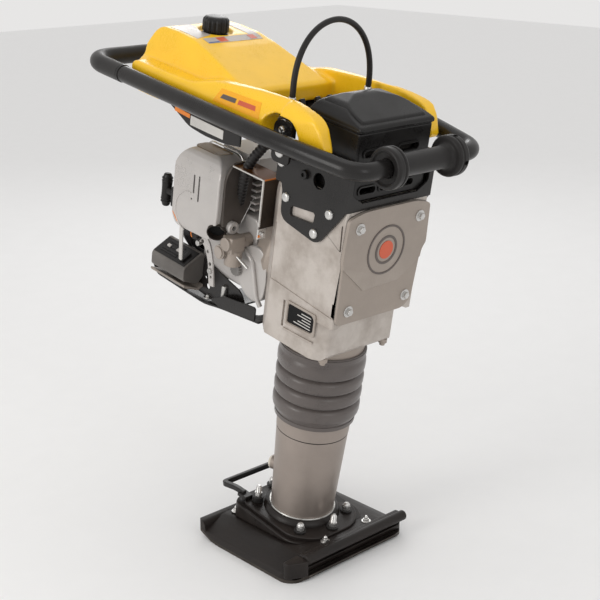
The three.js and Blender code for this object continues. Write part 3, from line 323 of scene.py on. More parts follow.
def bent(corners, steps=8):
    """A 3-D path whose corners (x, y, z, round) are filleted."""
    points = []
    for i, corner in enumerate(corners):
        p = Vector(corner[:3])
        if len(corner) < 4 or i in (0, len(corners) - 1):
            points.append(p)
            continue
        a = (Vector(corners[i - 1][:3]) - p).normalized()
        b = (Vector(corners[i + 1][:3]) - p).normalized()
        reach = min(corner[3], 0.48 * (Vector(corners[i - 1][:3]) - p).length,
            0.48 * (Vector(corners[i + 1][:3]) - p).length)
        s, e = p + a * reach, p + b * reach
        for k in range(steps + 1):
            t = k / steps
            points.append(s * (1 - t) ** 2 + p * 2 * t * (1 - t) + e * t**2)
    return points


def tube(points, radius, sides=20, radii=None):
    """A capped tube along the points; radii may vary its radius."""
    points = [Vector(p[:3]) for p in points]
    vertices, faces = [], []
    direction = (points[1] - points[0]).normalized()
    up = direction.orthogonal().normalized()
    for i, p in enumerate(points):
        ahead = points[min(i + 1, len(points) - 1)] - points[max(i - 1, 0)]
        ahead.normalize()
        up = (up - ahead * up.dot(ahead)).normalized()
        side = ahead.cross(up)
        r = radii[i] if radii else radius
        for k in range(sides):
            t = math.tau * k / sides
            vertices.append(p + (up * math.cos(t) + side * math.sin(t)) * r)
    for i in range(len(points) - 1):
        for k in range(sides):
            j = (k + 1) % sides
            faces.append((i * sides + k, i * sides + j, (i + 1) * sides + j, (i + 1) * sides + k))
    faces.append(tuple(range(sides)))
    faces.append(tuple(range((len(points) - 1) * sides, len(points) * sides)))
    return as_object(vertices, faces)


def boolean(a, operation, tools):
    for tool in tools:
        kept = a.data.copy()
        modify(a, "BOOLEAN", object=tool, operation=operation, solver="EXACT")
        if operation == "DIFFERENCE" and len(a.data.vertices) < len(kept.vertices) * 0.5:
            a.data = kept  # the exact solver lost the shape: cut it with the other one
            modify(a, "BOOLEAN", object=tool, operation=operation, solver="FAST")
        bpy.data.objects.remove(tool)
    return a


def cut(a, *tools):
    return boolean(a, "DIFFERENCE", tools)


def join(a, *tools):
    return boolean(a, "UNION", tools)


def common(a, *tools):
    return boolean(a, "INTERSECT", tools)


def together(*shapes):
    """Several closed shells as one object."""
    whole = bmesh.new()
    for shape in shapes:
        whole.from_mesh(shape.data)
    mesh = bpy.data.meshes.new("together")
    whole.to_mesh(mesh)
    whole.free()
    for shape in shapes[1:]:
        bpy.data.objects.remove(shape)
    shapes[0].data = mesh
    return shapes[0]


def soften(made, width, segments=3, angle=28):
    return modify(made, "BEVEL", width=width, segments=segments, limit_method="ANGLE",
        angle_limit=math.radians(angle), miter_outer="MITER_ARC", use_clamp_overlap=True)


def melt(made, voxel, smooth):
    """Rounds a whole solid the way a casting or a moulding is rounded."""
    modify(made, "REMESH", mode="VOXEL", voxel_size=voxel)
    return modify(made, "SMOOTH", factor=0.5, iterations=smooth)


def moved(made, x=0, y=0, z=0, turn=None):
    made.data.transform(Matrix.Translation((x, y, z)) @ (turn or Matrix.Identity(4)))
    return made


def hexagon(axis, flats, at, low, high):
    a, b = at
    r = flats / math.sqrt(3)
    made = prism(axis, [(a + r * math.cos(k * math.pi / 3), b + r * math.sin(k * math.pi / 3))
        for k in range(6)], low, high)
    return soften(made, 0.7, 2)


def bolt(axis, at, face, out, flats=10, rise=6, flange=8.5):
    """A flanged hexagon bolt head standing out of a face; out is +1 or -1."""
    ends = lambda a, b: (min(face + out * a, face + out * b), max(face + out * a, face + out * b))
    washer = rod(axis, flange, at, *ends(-0.4, 1.8), 0.7)
    head = hexagon(axis, flats, at, *ends(1.5, rise))
    crown = rod(axis, flats * 0.36, at, *ends(rise - 1, rise + 0.5), 0.4, 24)
    return together(washer, head, crown)


def dome_bolt(axis, at, face, out, radius=8):
    """A round-headed bolt with a shallow crown."""
    low = [(0, -0.3), (radius, -0.3, 0.4), (radius, 2, 0.8), (radius * 0.8, 4.2, 2), (radius * 0.3, 5, 2),
        (0, 5)]
    return lathe([(r, face + out * h, *rest) for r, h, *rest in low], axis, at, 40)


def piece(name, made, look, body="machine", place=LEAN, angle=34, flat=True):
    """Finishes a shape and fixes it to its body. It replaces the CAD node that has its name."""
    made.name = made.data.name = name
    made.data.transform(place)
    made.data.materials.clear()
    made.data.materials.append(LOOKS[look])
    made.data.shade_smooth()
    made.data.set_sharp_from_angle(angle=math.radians(angle))
    if flat:
        modify(made, "WEIGHTED_NORMAL", keep_sharp=True)
    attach(made, body)
    if name in frame["nodes"]:
        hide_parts(name)
    return made


def surface_of(made):
    return BVHTree.FromPolygons([v.co.copy() for v in made.data.vertices],
        [tuple(p.vertices) for p in made.data.polygons])


def decal(name, surface, corners, toward, look, columns=16, rows=8, lift=0.35):
    """A thin film laid on a surface: corners are four points, projected along 'toward'."""
    a, b, c, d = (Vector(p) for p in corners)
    toward = Vector(toward).normalized()
    vertices, faces = [], []
    for j in range(rows + 1):
        for i in range(columns + 1):
            u, v = i / columns, j / rows
            p = (a * (1 - u) + b * u) * (1 - v) + (d * (1 - u) + c * u) * v
            hit, normal, _, _ = surface.ray_cast(p - toward * 60, toward, 140)
            if hit is None:
                hit, normal = p, -toward
            vertices.append(hit + normal * lift if normal.dot(toward) < 0 else hit - normal * lift)
    n = columns + 1
    for j in range(rows):
        for i in range(columns):
            k = j * n + i
            faces.append((k, k + 1, k + 1 + n, k + n))
    made = as_object(vertices, faces)
    modify(made, "SOLIDIFY", thickness=0.25, offset=0)
    return piece(name, made, look, "handle", flat=False)


def cast_copy(node, look, voxel, smooth, cuts=()):
    """A rounded casting made from a CAD node's own shape, in the lean frame."""
    mesh = frame["nodes"][node].data.copy()
    made = bpy.data.objects.new(node, mesh)
    bpy.context.scene.collection.objects.link(made)
    mesh.transform(LEAN.inverted())
    melt(made, voxel, smooth)
    cut(made, *cuts)
    return piece(node, made, look, flat=False, angle=50)


# ---- Camera ------------------------------------------------------------------------------------
AZIMUTH, ELEVATION = math.radians(-43.06), math.radians(17.83)
back = Vector((math.sin(AZIMUTH) * math.cos(ELEVATION), -math.cos(AZIMUTH) * math.cos(ELEVATION),
    math.sin(ELEVATION)))
camera = bpy.data.objects.new("camera", bpy.data.cameras.new("camera"))
bpy.context.scene.collection.objects.link(camera)
camera.location = (-1.389, -1.480, 1.093)
camera.rotation_euler = back.to_track_quat("Z", "Y").to_euler()
camera.data.lens = 75.8
camera.data.sensor_width = 36
bpy.context.scene.camera = camera


# ---- Foot --------------------------------------------------------------------------------------
def build_foot():
    half = 142
    plan = [(-half, -108, 18), (-112, -128, 16), (112, -128, 16), (half, -108, 18), (half, 122, 12),
        (-half, 122, 12)]
    body = prism("x", [(-114, 6.3), (84, 6.3), (122, 22.3), (122, 36, 5), (104, 34, 12), (-92, 36),
        (-120, 36, 8), (-120, 16, 6)], -half, half)
    dome = prism("y", [(-half, 4), (-half, 16, 5), (-96, 36, 26), (96, 36, 26), (half, 16, 5), (half, 4)],
        -140, 108)
    wedge = common(body, prism("z", plan, -1, 60))
    rear = common(together(prism("x", [(100, 12), (122, 22.3), (122, 36, 5), (104, 33, 8)], -half + 1,
        half - 1)), prism("z", plan, -1, 60))
    shoe = join(common(wedge, dome), rear)
    groove = block(-106, 141, -140, -115, 20, 27)
    shoe = soften(cut(shoe, groove), 1.8, 3)
    piece("shoe_body", shoe, "shoe_black", "foot", place=GROUND)
    corner = prism("z", [(-140, -100, 8), (-140, -112, 8), (-112, -127, 8), (-104, -127, 3),
        (-104, -98, 3)], 8, 37)
    piece("shoe_corner", soften(corner, 6, 5), "shoe_black", "foot", place=GROUND)
    lip = together(rod("x", 9, (-119, 35), -106, 137, 5, 48), soft_block(-104, 136, -116, -100,
        28, 40, 5, 4))
    piece("shoe_lip", lip, "shoe_black", "foot", place=GROUND)
    sole = prism("x", [(-128, 5, 3), (-120, 0, 3), (86, 0, 20), (122, 16), (122, 22), (84, 6, 20),
        (-120, 6, 3), (-128, 11, 3)], -half + 1, half - 1)
    sole = soften(common(sole, prism("z", plan, -1, 60)), 0.8, 2)
    piece("shoe_sole", sole, "sole_steel", "foot", place=GROUND)
    bolts = []
    for x, y in ((-75, 94), (75, 94), (-36, -96), (68, -92)):
        bolts.append(lathe([(0, 35.6), (8.5, 35.6, 0.5), (8.5, 37.4, 0.5), (0, 37.4)], "z", (x, y), 32))
        bolts.append(hexagon("z", 10, (x, y), 37, 41))
        bolts.append(lathe([(0, 40), (3.4, 40), (3.4, 44, 0.4), (1.6, 46.5), (0, 46.5)], "z", (x, y), 20))
    piece("shoe_bolts", together(*bolts), "zinc", "foot", place=GROUND)

    # The flange's lower plate follows the ground, so its wedge is cut level with the shoe's top.
    level = block(-200, 200, -300, 300, -200, 36.3)
    level.data.transform(LEAN.inverted() @ GROUND)
    lower = [(-88, 92, 26), (-88, -62, 20), (-50, -106, 26), (50, -106, 26), (88, -62, 20), (88, 92, 26)]
    upper = [(-80, 78, 24), (-80, -58, 20), (-44, -94, 26), (44, -94, 26), (80, -58, 20), (80, 78, 24)]
    plate = slab("z", lower, 8, 50, 2.2, 3)
    raised = slab("z", upper, 40, 56, 2.2, 3)
    hub = lathe([(55.8, 48), (70, 48), (67, 60, 4), (61, 65.5, 2), (56, 65.5, 1)], "z")
    flange = cut(join(plate, raised, hub), level, rod("z", 55.8, (0, 0), 20, 80, 0, 72))
    piece("foot_flange", soften(flange, 0.8, 2, 40), "foot_iron", "foot")

    for i, degrees in enumerate((45, 90, 135, 225, 270, 315)):
        a = math.radians(degrees)
        at = (79 * math.cos(a), 79 * math.sin(a))
        tall = i in (2, 4)
        seat = 56.3 + (10 if i == 2 else 3)
        washer = lathe([(5, 56.2), (10.5, 56.2, 1), (10.5, seat, 1), (5, seat)], "z", at, 36)
        top = 88 if i == 2 else 83 if tall else 73
        nut = [hexagon("z", 13, at, seat, seat + 8)]
        if tall:
            rings = [(0, seat)]
            z = seat + 7
            while z < top - 4:
                rings += [(5.3, z), (4.6, z + 0.9)]
                z += 1.8
            rings += [(5.2, top - 3.5), (2.2, top), (0, top)]
            nut.append(lathe(rings, "z", at, 24))
        else:
            nut.append(lathe([(0, seat + 7), (6.6, seat + 7), (6, seat + 11, 3), (2.5, seat + 14, 2),
                (0, seat + 14)], "z", at, 28))
        piece(f"flange_bolt_{i + 1}", together(*nut), "zinc", "foot")
        piece(f"flange_washer_{i + 1}", washer, "black_rubber", "foot")

    path = bent([(-68, 78, 63), (-68.5, 100, 63, 10), (-70, 134, 55, 9), (70, 134, 55, 9), (68.5, 100, 63,
        10), (68, 78, 63)], 6)
    handle = tube(path, 6.6, 4)
    handle = soften(handle, 1.6, 3, 40)
    feet = [soft_block(min(s * 58, s * 77), max(s * 58, s * 77), 66, 88, 56.3, 63, 1.5) for s in (-1, 1)]
    piece("foot_handle", together(handle, *feet), "black_steel", "foot")

    leg = lathe([(49, 56.3), (55.5, 56.3, 1), (62.4, 221, 1), (49, 221), (49, 207), (30, 207), (30, 200),
        (49, 200)], sides=128)
    cut_dir = Matrix.Rotation(math.radians(117), 4, "Z")
    boss = moved(rod("x", 13, (0, 128), 52, 65.5, 2, 40), turn=cut_dir)
    inside = rod("z", 49.2, (0, 0), 60, 190, 0, 64)
    leg = join(leg, cut(boss, inside))
    piece("leg_cylinder", leg, "leg_aluminium", "foot", angle=30)
    ring = lathe([(55.6, 65.2), (59.5, 65.2, 0.6), (58.5, 67.6, 0.6), (56, 67.6, 0.3)], sides=96)
    piece("leg_ring", ring, "bright_steel", "foot")
    dome = moved(lathe([(0, 60), (12, 60), (12, 65.6, 3), (9, 69.5, 4), (3, 71, 3), (0, 71)], "x", (0, 128),
        40), turn=cut_dir)
    piece("oil_sight_glass", dome, "sight_glass", "foot", flat=False)
    collar = lathe([(48, 222.4), (63, 222.4, 0.8), (63.9, 243, 3), (63.9, 262, 1.2), (54, 262),
        (54, 292, 1), (48, 292)], sides=128)
    piece("leg_collar", collar, "leg_aluminium", "foot", angle=30)
    seam = lathe([(60, 221.1), (62.7, 221.1), (62.7, 222.3), (60, 222.3)], sides=96)
    piece("leg_seam", seam, "black_void", "foot")


def build_bellows():
    outer, inner = [(66.5, 249), (68.2, 249, 1), (68.2, 258, 2)], []
    lobes = (277.5, 304, 330.5, 357)
    for i, z in enumerate(lobes):
        outer += [(74.6, z - 9.5, 4.5), (75, z + 8, 5)]
        if i < 3:
            outer += [(66.4, z + 13.2, 1.1)]
    outer += [(72, 372, 1.5), (72.4, 386, 1), (70, 386)]
    profile = outline(outer)
    wall = []
    for p in profile:
        wall.append((p.x, p.y))
    shell = [(x - 2.6, z) for x, z in wall if x - 2.6 > 64.2 or z > 260]
    full = [(x, z) for x, z in wall] + [(max(64.3, x), z) for x, z in reversed(shell)]
    made = lathe(full, sides=128)
    made.data.transform(LEAN)
    made.name = made.data.name = "bellows"
    made.data.materials.append(LOOKS["bellows_rubber"])
    made.data.shade_smooth()
    made.data.set_sharp_from_angle(angle=math.radians(60))
    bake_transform(made)
    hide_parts("bellows")
    for z, tag, body in ((253, "low", "foot"), (380, "high", "machine")):
        r = 68.4 if z < 300 else 72.6
        band = lathe([(r, z - 3.5), (r + 1, z - 3.5, 0.4), (r + 1, z + 3.5, 0.4), (r, z + 3.5)], sides=96)
        piece(f"clamp_{tag}", band, "bellows_rubber", body)


def build_springs():
    """Each spring is cut into two halves at its middle: one from its seat, the other to its plate."""
    for node, seat, middle, plate in (("lower_spring", 60, 84, 108), ("upper_spring", 196, 160, 125)):
        for tag, near, far, a, b in (("seat", seat, middle, "foot", "machine"),
                ("plate", middle, plate, "machine", "ram")):
            made = bpy.data.objects.new(f"{node}_{tag}", frame["nodes"][node].data.copy())
            bpy.context.scene.collection.objects.link(made)
            made.data.transform(LEAN.inverted())
            low, high = sorted((middle, 20 if near < far else 240) if tag == "seat" else
                (middle, 240 if near < far else 20))
            made = common(made, block(-60, 60, -60, 60, low, high))
            made.data.transform(LEAN)
            made.data.materials.clear()
            made.data.materials.append(LOOKS["bright_steel"])
            made.data.shade_smooth()
            made.data.set_sharp_from_angle(angle=math.radians(50))
            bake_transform(made)
            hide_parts(node)


# ---- Crankcase -----------------------------------------------------------------------------------
def build_crankcase():
    side = [(-98, 422), (-80, 412, 5), (-72, 402, 4), (78, 402, 5), (82, 500), (82, 640, 14), (64, 664, 10),
        (-98, 664)]
    tall = prism("x", side, -90, 90)
    upper = common(tall, prism("z", [(-90, -98, 4), (90, -98, 4), (90, 52), (68, 82), (-68, 82), (-90, 52)],
        470, 700))
    lower = common(prism("x", side, -90, 90), prism("z", [(-73, -80, 6), (73, -80, 6), (90, -58, 8),
        (90, 52), (68, 82), (-68, 82), (-90, 52), (-90, -58, 8)], 300, 486))
    upper = cut(upper, prism("y", [(-100, 460), (-60, 479), (60, 479), (100, 460)], -120, -79.9))
    case = join(upper, lower)
    tools = []
    for s in (-1, 1):
        x0, x1 = both(s, 88.6, 96)
        tools.append(prism("x", [(53, 598), (-110, 577), (-110, 486), (53, 501)], x0, x1))
        x0, x1 = both(s, 89.4, 96)
        tools.append(prism("x", [(53, 660), (20, 660), (16, 500), (53, 500)], x0, x1))
    tools.append(block(-91, -86, 10.5, 15.5, 431, 477))
    tools += [prism("x", [(-91, 601), (-94, 601), (-92, 642), (-89, 642)], -96, -84),
        prism("x", [(-90, 490), (-92.5, 490), (-92.5, 512), (-90, 512)], -96, -84)]
    tools += [block(-82, 82, -90, 46, 492, 657), block(-66, 66, -72, 46, 412, 493),
        block(-66, 66, 40, 74, 412, 656), block(-78, 78, -99, -88, 494, 648)]
    tools += [rod("z", 43.8, (0, 0), 390, 430, 0), rod("y", 24.6, (0, CRANK_UP), 30, 90, 0),
        rod("y", 22, (0, RECOIL_UP), 60, 90, 0)]
    case = cut(case, *tools)
    soften(case, 1.3, 3, 26)
    piece("crankcase", case, "cast_aluminium")
    boss = lathe([(24.6, 52), (31, 52), (31, 81.8, 1), (24.6, 81.8)], "y", (0, CRANK_UP))
    piece("crank_boss", boss, "cast_aluminium")

    for s, tag in SIDES:
        x0, x1 = both(s, 89.5, 92.6)
        frame_ring = prism("x", [(-62, 441, 4), (6, 439, 4), (6, 481, 4), (-62, 481, 4)], x0, x1)
        a0, a1 = both(s, 90.9, 99)
        well = prism("x", [(-58.5, 446, 7), (2, 443, 3), (2, 477, 3), (-58.5, 477, 9)], a0, a1)
        shelf = prism("x", [(-60, 429), (9, 427), (9, 431), (-60, 433)], x0, x1)
        rim = together(soften(cut(frame_ring, well), 0.8, 2), soften(shelf, 0.8, 2))
        piece(f"plate_frame_{tag}", rim, "cast_aluminium")
        p0, p1 = both(s, 90.7, 91.5)
        blank = slab("x", [(-57.5, 447, 6), (1, 444, 3), (1, 476, 3), (-57.5, 476, 8)], p0, p1, 0.3, 2)
        piece(f"name_plate_{tag}", blank, "black_void")
        r0, r1 = both(s, 91.4, 91.8)
        bars = [prism("x", [(-52, z), (-14 - 9 * k % 20, z), (-14 - 9 * k % 20, z + 1.6), (-52, z + 1.6)],
            r0, r1) for k, z in enumerate((450, 455, 460, 465, 470))]
        piece(f"plate_rules_{tag}", together(*bars), "plate_silver")

    face = [(-90, 485, 6), (-84, 478, 4), (36, 477, 4), (64, 477, 10), (80, 492, 8), (86, 576, 6),
        (94, 588, 4), (90, 655, 6), (60, 664, 30), (-60, 664, 30), (-90, 655, 6), (-94, 588, 4),
        (-90, 574, 6)]
    cover = prism("y", face, -105, -98.9, 0.12)
    low_step = prism("y", [(-99, 583), (-40, 530), (38, 533), (99, 573), (99, 470), (-99, 470)],
        -108, -103.2)
    cover = soften(cut(cover, low_step), 1.6, 4, 26)
    piece("crankcase_cover", cover, "cast_aluminium")
    gasket = prism("y", [(x * 0.992, z + (0.5 if z > 600 else -0.5), *r) for x, z, *r in face],
        -98.9, -98.05)
    piece("cover_gasket", gasket, "black_rubber")
    heads = [bolt("y", at, -105 if at[1] > 600 else -103.2, -1, 10, 7, 9.5)
        for at in ((-66, 638), (68, 637), (63, 500), (-66, 500))]
    piece("cover_bolts", together(*heads), "zinc")
    ring = lathe([(38, -104.9), (41.5, -104.9), (41.2, -106.2, 0.4), (38.3, -106.2, 0.4)], "y",
        (0, BADGE_UP), 96)
    piece("badge_ring", ring, "badge_dark")
    dot = lathe([(0, -104.9), (15, -104.9), (15, -106, 0.5), (0, -106)], "y", (0, BADGE_UP), 64)
    piece("badge_disc", dot, "label_red")
    line = lathe([(20, -104.9), (24, -104.9), (24, -105.9, 0.3), (20, -105.9, 0.3)], "y", (0, BADGE_UP), 64)
    piece("badge_line", line, "badge_dark")

    neck = lathe([(43, 235), (47, 235), (47, 373), (68, 373, 1), (69, 388, 3), (69, 401.5, 1), (43, 401.5)],
        sides=96)
    piece("guide_cylinder", neck, "cast_aluminium")
    studs = []
    for x in (-69.3, 69.3):
        for y in (-68, 66):
            studs.append(rod("z", 7.5, (x, y), 396, 404, 1))
            studs.append(rod("z", 4.6, (x, y), 391, 398, 1, 24))
    piece("case_studs", together(*studs), "cast_aluminium")


def build_plates():
    face = [(60, 738, 8), (60, 690, 14), (42, 662, 14), (40, 610, 16), (-46, 596, 14), (-97, 664, 8),
        (-97, 738, 8)]
    window = [(19, 638, 4), (-35, 644, 5), (-33, 626, 5), (19, 622, 4)]
    for s, tag in SIDES:
        x0, x1 = both(s, 90.3, 95.3)
        plate = prism("x", face, x0, x1)
        plate = cut(plate, prism("x", window, x0 - 2, x1 + 2), rod("x", 12.5, (-35, 696), x0 - 2,
            x1 + 2, 0, 48))
        piece(f"side_plate_{tag}", soften(plate, 0.9, 3), "black_steel")
        heads = [dome_bolt("x", at, s * 95.3, s, 8) for at in ((49, 700), (31, 648), (-66, 653),
            (-38, 612))]
        piece(f"plate_bolts_{tag}", together(*heads), "zinc")
        screw = cut(rod("x", 7.5, (-5, 697), *both(s, 95, 101), 1), hexagon("x", 6.5, (-5, 697),
            *both(s, 98, 103)))
        piece(f"socket_screw_{tag}", screw, "black_plastic")
        wing = prism("y", [(s * 95, 664), (s * 95, 736, 4), (s * 84, 736, 4), (s * 84, 690, 6),
            (s * 60, 676, 4), (s * 60, 664)], -97.8, -94)
        piece(f"plate_wing_{tag}", soften(wing, 0.8, 2), "black_steel")
    bar = prism("y", [(-62, 664.5), (-62, 676), (62, 676), (62, 664.5)], -97.8, -94)
    piece("front_panel", soften(bar, 0.8, 2), "black_steel")


# ---- Engine --------------------------------------------------------------------------------------
def build_engine():
    side = [(165, 556, 18), (177, 522, 14), (268, 518, 16), (283, 536, 14), (283, 636, 30), (262, 662, 18),
        (186, 662, 22), (165, 642, 26)]
    front = [(-118, 638, 24), (-98, 665, 16), (-58, 670), (-58, 560), (-80, 515, 16), (-118, 515, 12)]
    shell = common(prism("x", side, -118, -60), prism("y", front, 150, 300))
    shell = melt(shell, 1.6, 6)
    inner = common(prism("x", [(y * 0.95 + 11.2, z * 0.96 + 23.5) for y, z, *_ in side], -114.8, -40),
        prism("y", [(-114.8, 632), (-96, 658), (-40, 660), (-40, 560), (-80, 524),
        (-114.8, 524)], 150, 300))
    slots = [prism("x", [(226, 590, 2), (230, 590, 2), (230, 623, 2), (226, 623, 2)], -130, -110),
        prism("x", [(213, 579, 2), (217, 579, 2), (217, 624, 2), (213, 624, 2)], -130, -110)]
    outward = Vector((-0.7, -0.64, -0.3)).to_track_quat("Z", "Y").to_matrix().to_4x4()
    tip = Matrix.Translation((-106, 174, 541)) @ outward
    outlet = moved(rod("z", 15.6, (0, 0), -14, 40, 0), turn=tip)
    holes = [rod("x", 1.8, at, -130, -105, 0, 16) for at in ((232, 579), (272, 553))]
    holes += [rod("y", 2.6, at, 150, 175, 0, 20) for at in ((-82, 611), (-82, 594), (-72, 640))]
    cover = cut(shell, inner, *slots, outlet, *holes)
    piece("muffler_cover", cover, "engine_grey", flat=False, angle=40)
    top = prism("z", [(-97, 200, 10), (-97, 262, 12), (-64, 262, 10), (-64, 192, 10)], 660.6, 662.4)
    piece("cover_top_skin", soften(top, 0.6, 2), "cover_top")
    far_rim = tube(bent([(-59.5, 172, 640), (-59.5, 182, 664, 14), (-59.5, 262, 664, 10),
        (-59.5, 281, 640)], 8), 1.6, 12)
    piece("cover_rim", far_rim, "zinc")
    arc = [(-118.2, 236 + 36 * math.cos(t), 553 + 36 * math.sin(t)) for t in
        [math.radians(d) for d in range(-75, 100, 8)]]
    piece("cover_bead", tube(arc, 1.1, 8), "engine_grey")
    mouth = moved(lathe([(13.8, -14), (15.4, -14), (16.6, 7, 1.5), (14.2, 7, 1)], "z", (0, 0),
        48), turn=tip)
    piece("exhaust_mouth", mouth, "exhaust_iron")
    piece("exhaust_dark", moved(rod("z", 13.7, (0, 0), -14, -4, 0), turn=tip), "black_void")
    # The cover's front face drawn as a dark sheet: its dark colour is painted shade on that face.
    shroud = prism("y", [(-108, 545, 8), (-108, 636, 16), (-92, 660, 10), (-40, 662, 12), (-31, 640, 10),
        (-38, 600, 10), (-66, 552, 10), (-84, 540, 8)], 160.5, 165.5)
    holes = [rod("y", 2.6, at, 150, 175, 0, 20) for at in ((-47, 626), (-48, 608), (-42, 644))]
    piece("engine_shroud", soften(cut(shroud, *holes), 1.6, 3), "painted_shade_cover")
    # A bright zinc strip along the right edge of the dark sheet: a painted highlight on that edge.
    lip = [(-33, 640), (-33.5, 622), (-39, 600), (-66, 553)]
    piece("shroud_lip", tube([(x, 160.5, z) for x, z in lip], 0.9, 10), "zinc")
    boss = cut(rod("y", 11, (-88, 549), 152, 172, 2.5, 40), rod("y", 4.2, (-88, 549), 145, 160, 0.5, 24))
    piece("cover_boss", boss, "engine_grey")
    piece("cover_boss_screw", hexagon("y", 6, (-88, 549), 156, 161), "black_steel")
    can = soft_block(-110, -64, 188, 262, 548, 632, 8, 4)
    elbow = soft_block(-108, -92, 190, 206, 532, 552, 3)
    piece("muffler", together(can, elbow), "exhaust_iron")

    top = soft_block(-96, -52, 86, 160, 655.6, 657.5, 0.4, 2)
    piece("heat_shield", top, "heat_orange")
    front = slab("x", [(84, 574), (86.4, 574), (86.4, 657.4), (84, 657.4)], -94, -62, 0.5, 2)
    piece("shield_front", front, "exhaust_iron")
    edge = together(soft_block(-97, -94.4, 83.6, 86.6, 578, 657.6, 0.4, 2), soft_block(-97, -95, 86, 160,
        655.4, 657.8, 0.4, 2))
    piece("shield_edge", edge, "plate_silver")
    piece("shield_edge_orange", soft_block(-94.4, -52, 83.4, 85.4, 655.6, 657.9, 0.4, 2), "orange_edge")
    foot = together(soft_block(-97, -80, 84, 88, 556, 574, 1, 2), bolt("y", (-89, 565), 84, -1, 7, 5, 5.5))
    piece("shield_foot", foot, "zinc")
    piece("shield_tag", soft_block(-97.6, -84, 82.8, 84, 560, 564, 0.3, 2), "orange_edge")

    route = bent([(-64, 18.3, 720), (-64, 108, 718, 24), (-82, 142, 664, 30), (-66, 172, 575)], 10)
    along, radii, walked = [], [], 0
    for p, q in zip(route, route[1:]):
        count = max(1, int((q - p).length / 1.4))
        for k in range(count):
            along.append(p.lerp(q, k / count))
            walked += (q - p).length / count
            radii.append(9.0 - 1.5 * (0.5 + 0.5 * math.cos(walked * math.tau / 7)))
    piece("intake_hose", tube(along, 9, 24, radii), "black_rubber", flat=False, angle=70)

    cast_copy("engine_block", "engine_grey", 2.0, 6)
    cast_copy("clutch_housing", "cast_aluminium", 1.8, 5)
    vents = []
    for k in range(20):
        turn = Matrix.Translation((0, 0, RECOIL_UP)) @ Matrix.Rotation(k * math.tau / 20, 4, "Y")
        vents.append(moved(block(-2, 2, 311, 330, 29, 60), turn=turn))
    cast_copy("recoil_housing", "black_plastic", 1.6, 4, vents)
    hub = lathe([(0, 324), (23, 324), (23, 327.4, 1), (19, 328.2, 1), (0, 328.2)], "y", (0, RECOIL_UP), 64)
    screws = [bolt("y", (68 * math.cos(a), RECOIL_UP + 68 * math.sin(a)), 305, 1, 7, 5, 6)
        for a in (math.radians(d) for d in (30, 150, 270))]
    piece("recoil_hub", hub, "plate_grey")
    piece("recoil_screws", together(*screws), "zinc")
    cast_copy("carburettor", "cast_aluminium", 1.2, 3)
    screws = [bolt("y", (x, z), 262, 1, 8, 6, 7) for x, z in ((-46, 466), (62, 466), (62, 556), (-46, 556))]
    piece("block_bolts", together(*screws), "zinc")

    # Control box: a shell with slotted top, seated on a lighter tray.
    section = [(-106, 416, 5), (-72, 404, 5), (-60, 416, 4), (-60, 459, 4), (-66, 463, 4), (-106, 441, 6)]
    box = slab("y", section, 252, 344, 2.4, 3)
    slope = math.atan2(22, 40)
    lay = Matrix.Translation((-86, 298, 452.6)) @ Matrix.Rotation(-slope, 4, "Y")
    wells = []
    for x0, x1, y0, y1 in ((-16, 12, -40, -22), (-16, -6, -14, 34), (-2, 6, -14, 8), (-2, 6, 14, 36),
            (9, 15, -16, 34)):
        wells.append(moved(soft_block(x0, x1, y0, y1, -3, 8, 1, 2), turn=lay))
    box = cut(box, *wells)
    piece("ignition_box", box, "engine_grey_dark")
    inlay = moved(soft_block(-20, 18, -43, 43, -6, 0.5, 0.6, 2), turn=lay)
    ridges = [moved(soft_block(x, x + 3, -12, 32, -3, 1.6, 0.5, 2), turn=lay) for x in (-13, -8, 0, 10)]
    plug = moved(soft_block(-14, 8, -34, -24, -3, 4.5, 1.2, 2), turn=lay)
    piece("box_connector", together(inlay, *ridges, plug), "black_plastic")
    keys = [moved(soft_block(-1, 5, y, y + 9, -2, 3, 1, 2), turn=lay) for y in (-8, 18)]
    piece("box_keys", together(*keys), "engine_grey")
    tray = slab("y", [(-104, 404, 2), (-70, 392, 3), (-58, 400, 3), (-58, 404), (-72, 397), (-104, 409, 2)],
        250, 346, 0.7, 2)
    piece("box_tray", tray, "tray_beige")
    apron = prism("x", [(334, 395, 6), (330, 450, 6), (262, 456, 10), (212, 442, 14), (150, 428, 10),
        (130, 396, 6), (226, 382, 10)], -61, -58)
    apron = cut(apron, rod("x", 5, (236, 404), -70, -50, 0, 24), rod("x", 3, (244, 418), -70, -50, 0, 20))
    piece("guard_apron", soften(apron, 0.8, 2), "black_steel")
    post = slab("x", [(251, 458, 2), (259, 458, 2), (264, 524, 3), (255, 524, 3)], -113, -110.5, 0.5, 2)
    piece("box_post", post, "plate_silver")
    knob = together(rod("x", 9, (226, 516), -112, -96, 2), rod("x", 12, (226, 516), -106, -100, 1))
    piece("choke_knob", knob, "black_plastic")
    mark = [(-111.5, 226 + 7 * math.cos(t), 516 + 7 * math.sin(t))
        for t in [math.radians(d) for d in range(-60, 130, 12)]]
    piece("choke_mark", tube(mark, 1.1, 8), "orange_edge")
    piece("cover_accent", tube([(-117.5, 279, 541), (-117.8, 266, 529), (-117.6, 262, 527)], 1.1, 8),
        "orange_edge")

